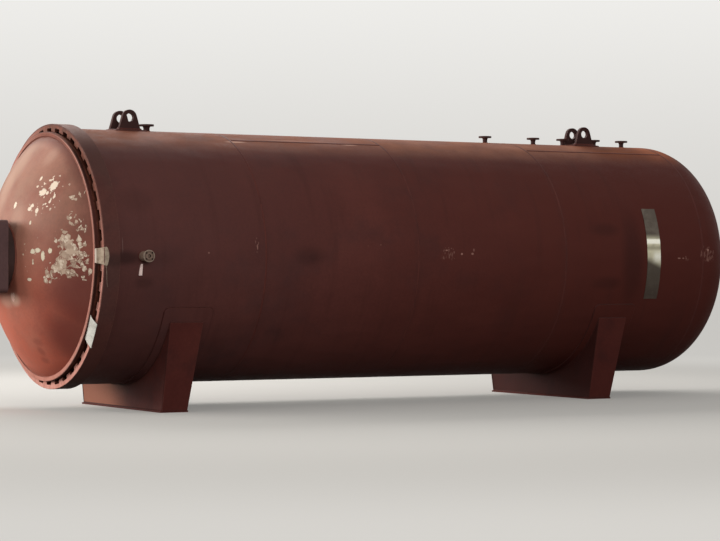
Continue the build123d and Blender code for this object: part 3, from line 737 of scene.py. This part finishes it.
def build_stub_finish():
    """Worn pale primer on the side stub: a bright edge and raised face, painted shade round the raised face,
    and the bore and bolt holes painted dark as shade.
    """
    material, w, shader, place = new_finish("side_stub_worn")
    paints = (paint(138, 116, 102), paint(156, 134, 118), paint(100, 80, 70))
    coat = coat_of(w, place, *paints, soot=0.6, coarseness=6.0)
    low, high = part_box("side_nozzle")
    offset = w.vector("SUBTRACT", place, ((low.x + high.x) / 2, 0, axis_height))
    offset = w.vector("MULTIPLY", offset, (1, 0, 1))
    radius = w.vector("LENGTH", offset)
    hole_reach = stub_bolt_circle * sqrt(0.5)
    folded = w.vector("ABSOLUTE", offset)
    from_hole = w.vector("LENGTH", w.vector("SUBTRACT", folded, (hole_reach, 0, hole_reach)))
    shade = w.between(radius, stub_raised_radius, stub_raised_radius + 0.018, 0.003)
    colour = w.over(
        coat["Colour"],
        (w.times(shade, 0.5), paint(84, 68, 60)),
        (w.ramp(radius, *stub_rim_edge), paint(162, 146, 130)),
    )
    dusty = w.group(settled_dust, place=place, colour=colour, dust=paint(176, 152, 130), amount=0.8)
    # Painted shade: the bore and the bolt holes are dark
    in_bore = w.ramp(radius, *stub_bore_edge, 1.0, 0.0)
    in_hole = w.ramp(from_hole, *stub_hole_edge, 1.0, 0.0)
    colour = w.mix(w.math("MAXIMUM", in_bore, in_hole), dusty["Colour"], paint(34, 22, 19))
    dress(w, shader, colour, coat["Roughness"], coat["Height"], 0.0012)
    return material


def build_rubber_finish():
    """Black rubber with a little bloom."""
    material, w, shader, place = new_finish("seal_rubber_black", 0.4)
    bloom = w.noise(place, 14.0, 4.0)
    colour = w.mix(bloom, paint(26, 26, 27), paint(52, 51, 50))
    dress(w, shader, colour, w.ramp(bloom, 0.2, 0.8, 0.5, 0.7), bloom, 0.0005)
    return material


def build_paper_finish(name, clean, soiled, crease=0.0015, bright_end=None):
    """Paper or tape, soiled in patches and creased, and painted bright before a place along the vessel: a
    painted highlight.
    """
    material, w, shader, place = new_finish(name, 0.15)
    soil = w.noise(place, 18.0, 5.0, 0.65)
    folds = w.noise(w.vector("MULTIPLY", place, (1.0, 1.0, 2.5)), 34.0, 3.0, 0.6)
    colour = w.mix(w.ramp(soil, 0.42, 0.7), paint(*clean), paint(*soiled))
    if bright_end is not None:
        past = w.ramp(w.parts(place)["X"], bright_end - 0.002, bright_end + 0.002)
        colour = w.mix(past, paint(250, 236, 220), colour)
    colour = w.vector("SCALE", colour, scale=w.ramp(folds, 0.3, 0.7, 0.9, 1.04))
    dress(w, shader, colour, w.ramp(soil, 0.3, 0.7, 0.6, 0.8), folds, crease)
    return material


shell_finish = build_shell_finish()
arm_finish = primed("arm_primer", (94, 71, 71), (104, 80, 76), (68, 53, 53), wear=0.4)
fitting_finish = primed("fitting_primer", (62, 40, 38), (76, 48, 44), (42, 30, 30), wear=0.5)
sleeve_finish = primed("side_sleeve_worn", (132, 110, 96), (150, 128, 112), (96, 76, 66), soot=0.6)
saddle_finish = primed("saddle_primer", (80, 38, 34), (92, 46, 40), (56, 31, 30), wear=0.2)
saddle_weld_finish = primed("saddle_weld_primer", (66, 34, 31), (76, 42, 37), (50, 30, 28), soot=0.6)
shell_weld_finish = primed("shell_weld_primer", (90, 48, 43), (102, 55, 49), (66, 40, 38), soot=0.6)
door_weld_finish = primed("door_weld_primer", (120, 68, 56), (138, 88, 74), (90, 52, 46), soot=0.7)
steel_finish = build_steel_finish()
# The tape's end over the front of the door's rim is painted bright: a painted highlight
tape_bright_end = mouth_x - 0.044
tape_finish = build_paper_finish("tape_soiled", (180, 162, 142), (150, 131, 114), 0.002, tape_bright_end)
card_finish = build_paper_finish("card_white", (216, 214, 206), (190, 187, 178))
label_finish = build_paper_finish("label_paper", (252, 226, 218), (226, 196, 190))

own_finish = {
    "arm_beam": arm_finish,
    "arm_bearing": arm_finish,
    "arm_knuckle": arm_finish,
    "bare_strip": build_strip_finish(),
    "door_dish": build_dish_finish(),
    "door_flange": build_closure_finish(
        "rim_primer",
        face_paints=(paint(112, 69, 57), paint(184, 126, 112), paint(178, 128, 116)),
        outer_paint=paint(50, 28, 23),
        face_end=rim_back,
        face_radius=rim_radius - 0.008,
        greasy_start=mouth_x - 0.026,
        greasy_radius=rim_radius + 0.1,
        bright_radius=rim_radius - 0.018,
    ),
    # The hub's primer is darker: painted shade
    "door_hub": primed("hub_primer", (66, 49, 46), (78, 58, 54), (48, 38, 36), wear=0.2),
    "door_seal": build_rubber_finish(),
    "door_shaft": steel_finish,
    "end_ring": build_closure_finish(
        "ring_primer",
        face_paints=(paint(92, 60, 50), paint(206, 148, 135), paint(158, 118, 104)),
        outer_paint=paint(84, 56, 52),
        face_end=mouth_x + 0.002,
        face_radius=ring_radius - 0.013,
        greasy_start=mouth_x + 0.001,
        greasy_radius=rim_radius + 0.046,
        bright_radius=ring_radius,
    ),
    "front_saddle_web": primed(
        "front_web_primer", (80, 40, 36), (92, 48, 42), (56, 31, 30), wear=0.2, lit_foot_paint=paint(140, 90, 72)
    ),
    "hinge_pin": steel_finish,
    # The rear web's primer is darker all over: painted shade
    "rear_saddle_web": primed("rear_web_primer", (60, 30, 27), (70, 36, 32), (44, 25, 24), wear=0.2),
    "shaft_cap": arm_finish,
    "side_nozzle": build_stub_finish(),
}


def finish_of(name):
    """Which finish a solid piece wears: its own, or that of its kind."""
    if name in own_finish:
        return own_finish[name]
    if "nozzle" in name or "lug" in name or "hinge" in name:
        return fitting_finish
    if "saddle" in name and "pad" not in name:
        return saddle_finish
    return shell_finish


for name, solid in nodes.items():
    solid.data.materials.clear()
    solid.data.materials.append(finish_of(name))


def add_piece(mesh, name, material, body):
    """Makes a smooth piece of a built mesh and lets it ride on a body."""
    bmesh.ops.recalc_face_normals(mesh, faces=mesh.faces)
    data = bpy.data.meshes.new(name)
    mesh.to_mesh(data)
    mesh.free()
    data.shade_smooth()
    data.materials.append(material)
    piece = bpy.data.objects.new(name, data)
    bpy.context.scene.collection.objects.link(piece)
    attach(piece, body)
    return piece


# Weld beads. A section is drawn across a bead: butt beads lie on the plate, fillets fill a corner.
butt_section = ((-0.5, -0.15), (-0.36, 0.6), (-0.13, 1.0), (0.13, 1.0), (0.36, 0.6), (0.5, -0.15))
fillet_section = ((-0.74, 0.68), (-0.36, 0.86), (0, 0.91), (0.36, 0.86), (0.74, 0.68), (0, -0.1))


class Welds:
    """Weld beads that share one mesh and ride on one body."""

    def __init__(self):
        self.mesh = bmesh.new()
        self.laid = 0

    def sweep(self, section, size, points, outward, closed):
        """Carries a section along points, its up side facing outward, with the ripple of laid metal."""
        count = len(points)
        rows = []
        self.laid += 1
        for number, (point, up) in enumerate(zip(points, outward)):
            ahead = points[(number + 1) % count] if closed or number < count - 1 else point
            behind = points[number - 1] if closed or number else point
            forward = (ahead - behind).normalized()
            across = forward.cross(up).normalized()
            rise = across.cross(forward)
            slow = noise.noise(point * 9 + Vector((self.laid, 0, 0)))
            quick = noise.noise(point * 70)
            swell = 1 + 0.10 * slow + 0.16 * quick
            width, height = size
            breadth = width * (1 + 0.06 * slow)
            row = [
                self.mesh.verts.new(point + across * (side * breadth) + rise * (lift * height * swell))
                for side, lift in section
            ]
            rows.append(row)
        corners = len(section)
        steps = count if closed else count - 1
        for number in range(steps):
            here, there = rows[number], rows[(number + 1) % count]
            for corner in range(corners):
                after = (corner + 1) % corners
                self.mesh.faces.new((here[corner], here[after], there[after], there[corner]))
        if not closed:
            self.mesh.faces.new(list(reversed(rows[0])))
            self.mesh.faces.new(rows[-1])

    def butt(self, width, height, points, outward, closed=False):
        self.sweep(butt_section, (width, height), points, outward, closed)

    def fillet(self, leg, points, outward, closed=False):
        self.sweep(fillet_section, (leg, leg), points, outward, closed)

    def run(self, leg, start, stop, outward):
        """A straight fillet."""
        self.fillet(leg, *straight(start, stop, outward.normalized()))


x_way = Vector((1, 0, 0))
y_way = Vector((0, 1, 0))
z_way = Vector((0, 0, 1))


def around(x, radius, angle):
    """A point at an angle round the vessel's axis, counted from the top towards the near side."""
    return Vector((x, -radius * sin(angle), axis_height + radius * cos(angle)))


def radial(angle):
    return Vector((0, -sin(angle), cos(angle)))


def steps_over(length, step):
    return max(2, round(length / step))


def hoop(x, radius, lean, step=0.014, start=0.0, sweep=2 * pi):
    """Points round the vessel's axis and their outward ways, leaning along x by an angle."""
    count = steps_over(radius * sweep, step)
    closed = sweep >= 2 * pi
    turns = [start + sweep * number / (count if closed else count - 1) for number in range(count)]
    points = [around(x, radius, turn) for turn in turns]
    return points, [radial(turn) * cos(lean) + x_way * sin(lean) for turn in turns]


def straight(start, end, outward, step=0.012):
    """Points along a straight run, all facing one way."""
    count = steps_over((end - start).length, step)
    points = [start.lerp(end, number / (count - 1)) for number in range(count)]
    return points, [outward] * count


def patch_outline(x, angle, half_length, half_width, corner, radius, step=0.01):
    """A closed line round a rounded patch on a drum, and its outward ways, for a fillet at its foot."""
    points = []
    outward = []
    corners = (
        (half_length - corner, half_width - corner, 0),
        (corner - half_length, half_width - corner, pi / 2),
        (corner - half_length, corner - half_width, pi),
        (half_length - corner, corner - half_width, 3 * pi / 2),
    )
    outline = []
    for number, (middle_x, middle_s, start) in enumerate(corners):
        bends = steps_over(corner * pi / 2, step)
        for bend in range(bends + 1):
            turn = start + pi / 2 * bend / bends
            outline.append((middle_x + corner * cos(turn), middle_s + corner * sin(turn), turn))
        next_x, next_s, next_start = corners[(number + 1) % 4]
        end_x, end_s, turn = outline[-1]
        far_x = next_x + corner * cos(next_start)
        far_s = next_s + corner * sin(next_start)
        run = sqrt((far_x - end_x) ** 2 + (far_s - end_s) ** 2)
        pieces = round(run / step)
        for piece in range(1, pieces):
            share = piece / pieces
            outline.append((end_x + (far_x - end_x) * share, end_s + (far_s - end_s) * share, turn))
    for along, across, turn in outline:
        place = angle + across / radius
        tangent = Vector((0, -cos(place), -sin(place)))
        points.append(around(x + along, radius, place))
        outward.append((radial(place) + x_way * cos(turn) + tangent * sin(turn)).normalized())
    return points, outward


# Seams of the shell: round it between courses, and along each course, staggered
long_seams = (radians(-38), radians(22), radians(-33), radians(23))

# A butt bead's width and height, and a fillet's leg
plate_bead = (0.028, 0.004)
ground_bead = (0.020, 0.0006)
arm_bead = (0.014, 0.004)
saddle_bead = (0.012, 0.003)
ring_leg = 0.016
nozzle_leg = 0.007
lug_pad_leg = 0.009
lug_leg = 0.014
saddle_leg = 0.009
bracket_leg = 0.014
dish_leg = 0.011
hub_leg = 0.012
arm_leg = 0.012


def weld_shell():
    welds = Welds()
    for x in seam_places:
        welds.butt(*ground_bead, *hoop(x, shell_radius, 0), closed=True)
    starts = [ring_back] + seam_places[:-1]
    for start, end, turn in zip(starts, seam_places, long_seams):
        here, there = (around(x, shell_radius, turn) for x in (start + 0.02, end))
        welds.butt(*plate_bead, *straight(here, there, radial(turn)))
    welds.fillet(ring_leg, *hoop(ring_back, shell_radius, pi / 4), closed=True)
    add_piece(welds.mesh, "shell_seam_welds", shell_weld_finish, "vessel")


def neck_radius(name, outward):
    """How wide a nozzle's pipe is where it meets the shell."""
    low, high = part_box(name)
    middle = (low + high) / 2
    offsets = [vertex.co - middle for vertex in nodes[name].data.vertices]
    foot = min(offset.dot(outward) for offset in offsets)
    return max((o - outward * o.dot(outward)).length for o in offsets if o.dot(outward) < foot + 0.005)


def weld_fittings():
    """Fillets at the feet of nozzles, lugs and lug pads."""
    welds = Welds()
    for number in range(1, 7):
        low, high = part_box(f"top_nozzle_{number}")
        neck = neck_radius(f"top_nozzle_{number}", z_way)
        foot = patch_outline((low.x + high.x) / 2, 0, neck, neck, neck, shell_radius, 0.005)
        welds.fillet(nozzle_leg, *foot, closed=True)
    low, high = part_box("side_nozzle")
    foot = patch_outline((low.x + high.x) / 2, pi / 2, *[sleeve_radius] * 3, shell_radius, 0.005)
    welds.fillet(nozzle_leg, *foot, closed=True)
    for end in ("front", "rear"):
        low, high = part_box(f"{end}_lug_pad")
        pad_radius = high.z - axis_height
        half_width = asin(high.y / pad_radius) * shell_radius
        middle = (low.x + high.x) / 2
        half_length = (high.x - low.x) / 2
        outline = patch_outline(middle, 0, half_length, half_width, lug_pad_corner, shell_radius)
        welds.fillet(lug_pad_leg, *outline, closed=True)
        for side in ("near", "far"):
            low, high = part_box(f"{end}_lug_{side}")
            turn = -asin((low.y + high.y) / 2 / pad_radius)
            half = ((high.x - low.x) / 2, (high.y - low.y) / 2)
            outline = patch_outline(middle, turn, *half, lug_corner, pad_radius, 0.008)
            welds.fillet(lug_leg, *outline, closed=True)
    add_piece(welds.mesh, "fitting_welds", shell_weld_finish, "vessel")


def weld_saddle(end):
    """Fillets round a saddle's pad and where its plates meet."""
    welds = Welds()
    pad_low, pad_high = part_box(f"{end}_saddle_pad")
    web_low, web_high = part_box(f"{end}_saddle_web")
    base_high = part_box(f"{end}_saddle_base")[1]
    rib_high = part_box(f"{end}_saddle_ribs")[1]
    pad_radius = axis_height - pad_low.z
    half_wrap = asin(pad_high.y / pad_radius)
    pad_length = pad_high.x - pad_low.x
    middle = (pad_low.x + pad_high.x) / 2
    half_width = half_wrap * shell_radius
    outline = patch_outline(middle, pi, pad_length / 2, half_width, saddle_pad_corner, shell_radius, 0.014)
    welds.fillet(saddle_leg, *outline, closed=True)
    web_wrap = acos((axis_height - web_high.z) / pad_radius)
    foot_end_y = base_high.y - rib_thickness
    for x, way in ((web_low.x, -1), (web_high.x, 1)):
        welds.fillet(saddle_leg, *hoop(x, pad_radius, way * pi / 4, start=pi - web_wrap, sweep=2 * web_wrap))
        near, far = (Vector((x, side * foot_end_y, base_high.z)) for side in (-1, 1))
        welds.run(saddle_leg, near, far, z_way + x_way * way)
    top_end = rib_high.x - rib_inset
    foot_end = base_high.x - foot_inset
    for pair in range(rib_pairs):
        for side in (-1, 1):
            for face in (-1, 1):
                y = side * (pair + 0.5) * rib_spacing + face * rib_thickness / 2
                turn = pi + asin(y / pad_radius)
                pad_start = around(web_high.x, pad_radius, turn)
                foot = Vector((web_high.x, y, base_high.z))
                foot_stop = Vector((foot_end, y, base_high.z))
                across = y_way * face
                welds.run(saddle_leg, pad_start, around(top_end, pad_radius, turn), radial(turn) + across)
                welds.run(saddle_leg, foot, foot_stop, z_way + across)
                welds.run(saddle_leg, foot, pad_start, x_way + across)
    for side in (-1, 1):
        outer_y = side * (base_high.y - 0.002)
        start, stop = (Vector((x, outer_y, base_high.z)) for x in (web_low.x, foot_end))
        welds.run(saddle_leg, start, stop, z_way + y_way * side)
        turn = pi + side * web_wrap
        pad_start = around(web_low.x, pad_radius, turn)
        corner = Vector((web_low.x, side * foot_end_y, base_high.z))
        top = Vector((web_low.x, pad_start.y, web_high.z))
        welds.butt(*saddle_bead, *straight(corner, top, (y_way * side - x_way).normalized()))
        beside = radial(turn) - radial(turn).cross(x_way) * side
        welds.run(saddle_leg, pad_start, around(top_end, pad_radius, turn), beside)
    add_piece(welds.mesh, f"{end}_saddle_welds", saddle_weld_finish, "vessel")


def weld_hinge():
    """Fillets under and over each hinge bracket's plate, where it stands on the end ring."""
    welds = Welds()
    for side in ("upper", "lower"):
        low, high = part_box(f"hinge_bracket_{side}")
        plate_low = low.z if side == "upper" else high.z - bracket_thickness
        for z, face in ((plate_low, -1), (plate_low + bracket_thickness, 1)):
            up = z - axis_height
            turn = -acos(up / ring_radius)
            start = around(ring_low.x + 0.006, ring_radius, turn)
            stop = around(ring_back - 0.004, ring_radius, turn)
            welds.run(bracket_leg, start, stop, radial(turn) + z_way * face)
    add_piece(welds.mesh, "hinge_bracket_welds", shell_weld_finish, "vessel")


def weld_door():
    """The dish's seam inside the rim, and the hub's foot on the dish."""
    welds = Welds()
    points, ways = hoop(dish_edge_x, dish_edge_radius, 0)
    inward = [(way * (sin(dish_edge_slope) - 1) - x_way * cos(dish_edge_slope)).normalized() for way in ways]
    welds.fillet(dish_leg, points, inward, closed=True)
    hub_foot_x = dish_centre_x - dish_radius * cos(hub_slope)
    points, ways = hoop(hub_foot_x, hub_radius, 0, 0.01)
    outward = [(way * (1 + sin(hub_slope)) - x_way * cos(hub_slope)).normalized() for way in ways]
    welds.fillet(hub_leg, points, outward, closed=True)
    add_piece(welds.mesh, "door_welds", door_weld_finish, "door")


def weld_arm():
    """Corner beads of the arm's box, and fillets at its bearing and its knuckle."""
    welds = Welds()
    bearing_low, bearing_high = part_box("arm_bearing")
    knuckle_low, knuckle_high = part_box("arm_knuckle")
    collar = (bearing_high.z - bearing_low.z) / 2
    welds.fillet(arm_leg, *hoop(arm_low.x, collar, -pi / 4, 0.008), closed=True)
    knuckle_middle = (knuckle_low + knuckle_high) / 2
    knuckle_radius = (knuckle_high.y - knuckle_low.y) / 2
    turns = [radians(127) + radians(118) * number / 23 for number in range(24)]
    knuckle_ways = [Vector((cos(turn), sin(turn), 0)) for turn in turns]
    corner_y = arm_low.y + arm_corner
    for z, side in ((arm_low.z, -1), (arm_high.z, 1)):
        start = Vector((arm_low.x, corner_y, z))
        stop = Vector((arm_low.x, arm_high.y, z))
        welds.butt(*arm_bead, *straight(start, stop, (z_way * side - x_way).normalized()))
        middle = start - z_way * side * arm_corner
        turns = [pi / 2 * number / 6 for number in range(7)]
        ways = [Vector((0, -sin(turn), side * cos(turn))) for turn in turns]
        bend = [middle + way * arm_corner for way in ways]
        welds.butt(*arm_bead, bend, [(way - x_way).normalized() for way in ways])
        centre = Vector((knuckle_middle.x, knuckle_middle.y, z))
        points = [centre + way * knuckle_radius for way in knuckle_ways]
        welds.fillet(arm_leg, points, [(way + z_way * side).normalized() for way in knuckle_ways])
    foot = Vector((arm_low.x, arm_low.y, arm_low.z + arm_corner))
    head = Vector((arm_low.x, arm_low.y, arm_high.z - arm_corner))
    welds.butt(*arm_bead, *straight(foot, head, (-x_way - y_way).normalized()))
    add_piece(welds.mesh, "arm_welds", arm_finish, "arm")


def build_sleeve():
    """The thick sleeve between the shell and the side stub's flange."""
    low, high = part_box("side_nozzle")
    centre_x = (low.x + high.x) / 2
    corners = [vertex.co for vertex in nodes["side_nozzle"].data.vertices]
    centre = Vector((centre_x, axis_height))
    flange_back = max(point.y for point in corners if (point.xz - centre).length > stub_neck_limit)
    profile = (
        (-shell_radius + 0.004, sleeve_radius),
        (-shell_radius - 0.012, sleeve_radius),
        (flange_back + 0.008, sleeve_radius),
        (flange_back + 0.003, sleeve_radius - 0.001),
        (flange_back - 0.001, sleeve_radius - 0.003),
    )
    mesh = bmesh.new()
    turns = [2 * pi * number / sleeve_facets for number in range(sleeve_facets)]
    rings = []
    for y, radius in profile:
        points = [(centre_x + radius * cos(turn), y, axis_height + radius * sin(turn)) for turn in turns]
        rings.append([mesh.verts.new(point) for point in points])
    for ring, after in zip(rings, rings[1:]):
        for number in range(len(turns)):
            following = (number + 1) % len(turns)
            mesh.faces.new((ring[number], ring[following], after[following], after[number]))
    mesh.faces.new(rings[0])
    mesh.faces.new(rings[-1])
    add_piece(mesh, "side_nozzle_sleeve", sleeve_finish, "vessel")


build_sleeve()
weld_shell()
weld_fittings()
weld_saddle("front")
weld_saddle("rear")
weld_hinge()
weld_door()
weld_arm()


# Bare paper and tape stuck on the outside
def sheet(name, rows, thickness, material, body):
    """A thin curved sheet through rows of points."""
    mesh = bmesh.new()
    made = [[mesh.verts.new(point) for point in row] for row in rows]
    for row, after in zip(made, made[1:]):
        for a, b, c, d in zip(row, row[1:], after[1:], after):
            mesh.faces.new((a, b, c, d))
    piece = add_piece(mesh, name, material, body)
    rounded = piece.modifiers.new("rounded", "SUBSURF")
    rounded.levels = 2
    rounded.render_levels = 2
    thick = piece.modifiers.new("thick", "SOLIDIFY")
    thick.thickness = thickness
    thick.offset = 0


def build_tape():
    """Tape from the door's rim over the gap on to the ring, with a ragged end and a torn tail."""
    stations = (
        (-0.059, rim_radius + skin - 0.003, 0.070, -0.067),
        (-0.054, rim_radius + skin, 0.070, -0.067),
        (-0.044, rim_radius + skin, 0.071, -0.068),
        (-0.030, rim_radius + skin, 0.073, -0.070),
        (-0.014, rim_radius + 0.040, 0.077, -0.077),
        (0.000, ring_radius - 0.001, 0.082, -0.085),
        (0.008, ring_radius + 2 * skin, 0.084, -0.088),
        (0.022, ring_radius + skin, 0.086, -0.094),
        (0.036, ring_radius + 2 * skin, 0.080, -0.097),
    )
    bulge = (0.0, 0.010, 0.016, 0.017, 0.013, 0.006, -0.004)
    rows = []
    for number, (x, radius, top, bottom) in enumerate(stations):
        row = []
        for place, extra in enumerate(bulge):
            up = top + (bottom - top) * place / (len(bulge) - 1)
            lift = 0.0012 * (noise.noise(Vector((x * 60, up * 60, 3.1))) + 0.5) if number > 3 else 0
            reach = extra * max(0, number - 5) / 3
            row.append(on_near_side(mouth_x + x + reach, radius + lift, up))
        rows.append(row)
    sheet("rim_tape", rows, tape_thickness, tape_finish, "door")
    tail = []
    for number in range(9):
        share = number / 8
        x = 0.020 + 0.027 * share + 0.002 * sin(share * 7)
        up = -0.086 - 0.210 * share
        half = 0.002 - 0.001 * share
        tail.append([on_near_side(mouth_x + x + offset, ring_radius + skin, up) for offset in (-half, half)])
    sheet("rim_tape_tail", tail, tape_thickness, tape_finish, "door")


def build_card():
    """A blank card stuck by a folded edge to the door's rim, standing out over the ring."""
    top_start = Vector((-0.046, -1.095, -0.559))
    bottom_start = Vector((-0.036, -0.948, -0.783))
    top_stop = Vector((-0.006, -1.161, -0.647))
    bottom_stop = Vector((-0.006, -1.026, -0.877))
    rows = []
    rim = rim_radius + skin
    for share in (0, 0.03, 0.25, 0.5, 0.75, 0.97, 1):
        start = top_start.lerp(bottom_start, share)
        stop = top_stop.lerp(bottom_stop, share)
        fold = Vector((start.x, *(Vector((start.y, start.z)).normalized() * rim)))
        flap = fold + Vector((0.010, 0, 0))
        row = [flap, fold + Vector((0.002, 0, 0)), fold]
        for along in (0.06, 0.35, 0.65, 0.94, 1):
            bow = 0.006 * sin(pi * along) + 0.003 * noise.noise(Vector((share * 3, along * 3, 5.5)))
            row.append(fold.lerp(stop, along) + Vector((-bow, 0, 0)))
        rows.append([point + Vector((mouth_x, 0, axis_height)) for point in row])
    sheet("rim_card", rows, card_thickness, card_finish, "door")


def build_label():
    """A blank label stuck to the shell below the side nozzle, its foot lifting a little."""
    rows = []
    for share in (0, 0.05, 0.3, 0.6, 0.95, 1):
        up = -0.075 - 0.110 * share
        left = mouth_x + 0.401 - 0.021 * share**0.6
        right = mouth_x + 0.421 - 0.004 * share
        lift = shell_radius + skin + 0.012 * max(0, share - 0.3) ** 2
        steps = (0, 0.06, 0.5, 0.94, 1)
        rows.append([on_near_side(left + (right - left) * step, lift, up) for step in steps])
    sheet("shell_label", rows, card_thickness, label_finish, "vessel")


build_tape()
build_card()
build_label()

# Floor, lights and camera
floor_grey = paint(184, 182, 178)
floor_far_grey = paint(60, 59, 57)
floor_thrown_back = paint(44, 38, 34)
floor_fade = (6.0, 16.0)
vessel_middle = (2.5, 0, 0)


def seen_rays(w):
    """The rays that light path tells apart, and a mask of those that show the surroundings."""
    rays = w.node("ShaderNodeLightPath").outputs
    seen = w.math("MAXIMUM", rays["Is Camera Ray"], rays["Is Glossy Ray"])
    return rays, w.math("MAXIMUM", seen, rays["Is Transmission Ray"])


def build_floor():
    """A wide plain floor, pale to the camera, that keeps shadows and throws little light back up."""
    bpy.ops.mesh.primitive_plane_add(size=400, location=(2, 10, 0))
    floor = bpy.context.object
    floor.name = "studio_floor"
    material, w, shader, _ = new_finish("studio_floor_grey")
    rays, seen = seen_rays(w)
    offset = w.vector("SUBTRACT", w.node("ShaderNodeNewGeometry").outputs["Position"], vessel_middle)
    far = w.ramp(w.vector("LENGTH", offset), *floor_fade)
    shown = w.mix(far, floor_grey, floor_far_grey)
    w.feed(shader.inputs["Base Color"], w.mix(seen, floor_thrown_back, shown))
    shader.inputs["Roughness"].default_value = 0.95
    w.feed(shader.inputs["Emission Color"], floor_grey)
    glow = w.times(rays["Is Camera Ray"], w.ramp(far, 0.0, 1.0, 0.35, 1.1))
    w.feed(shader.inputs["Emission Strength"], glow)
    floor.data.materials.append(material)


def area_light(name, place, target, width, depth, level, colour):
    """A soft lamp that lights a pale surface at its target to the given level."""
    lamp = bpy.data.lights.new(name, "AREA")
    lamp.shape = "RECTANGLE"
    lamp.size = width
    lamp.size_y = depth
    reach = Vector(target) - Vector(place)
    lamp.energy = level * pi * pi * reach.length_squared
    lamp.color = colour
    holder = bpy.data.objects.new(name, lamp)
    holder.location = place
    holder.rotation_euler = reach.to_track_quat("-Z", "Y").to_euler()
    holder.visible_camera = False
    bpy.context.scene.collection.objects.link(holder)


def build_world():
    """Even pale surroundings, dimmer on the object than to the camera, greyer towards the floor."""
    world = bpy.data.worlds.new("studio")
    world.use_nodes = True
    bpy.context.scene.world = world
    world.node_tree.nodes.clear()
    w = Wiring(world.node_tree)
    background = w.node("ShaderNodeBackground")
    output = w.node("ShaderNodeOutputWorld")
    world.node_tree.links.new(background.outputs[0], output.inputs["Surface"])
    direction = w.node("ShaderNodeTexCoord").outputs["Generated"]
    height = w.ramp(w.parts(direction)["Z"], 0.0, 0.16)
    w.feed(background.inputs["Color"], w.mix(height, paint(214, 212, 208), paint(244, 243, 240)))
    seen = seen_rays(w)[1]
    w.feed(background.inputs["Strength"], w.ramp(seen, 0.0, 1.0, 0.4, 1.0))


def build_camera():
    """A long lens from the photograph's place, a little below the vessel's axis."""
    place = (-10.241, -21.816, 1.367)
    yaw = 0.533459
    pitch = 0.000633
    roll = 0.001073
    forward = Vector((sin(yaw) * cos(pitch), cos(yaw) * cos(pitch), sin(pitch)))
    level = Vector((cos(yaw), -sin(yaw), 0))
    upright = level.cross(forward)
    right = level * cos(roll) + upright * sin(roll)
    up = upright * cos(roll) - level * sin(roll)
    camera = bpy.data.cameras.new("camera")
    camera.lens = 119.35
    camera.sensor_width = 36
    camera.clip_end = 600
    holder = bpy.data.objects.new("camera", camera)
    turned = Matrix((right, up, -forward)).transposed().to_4x4()
    holder.matrix_world = Matrix.Translation(place) @ turned
    bpy.context.scene.collection.objects.link(holder)
    bpy.context.scene.camera = holder


build_floor()
build_world()
build_camera()
area_light("key", (-15.2, 10.2, 5.2), (-1.2, 0, 1.5), width=16, depth=7, level=1.24, colour=(1, 0.96, 0.91))
area_light("door", (-17, -5, 3.2), (-1.2, 0, 1.4), width=9, depth=5, level=0.2, colour=(1, 0.97, 0.94))
area_light("top", (2, 8, 9), (2.5, 0, 2.4), width=12, depth=4, level=0.9, colour=(1, 0.98, 0.96))
area_light("fill", (-4, -20, 5), (2.5, -1, 1.5), width=8, depth=5, level=0.32, colour=(1, 0.97, 0.95))
bpy.context.scene.view_settings.view_transform = "Standard"
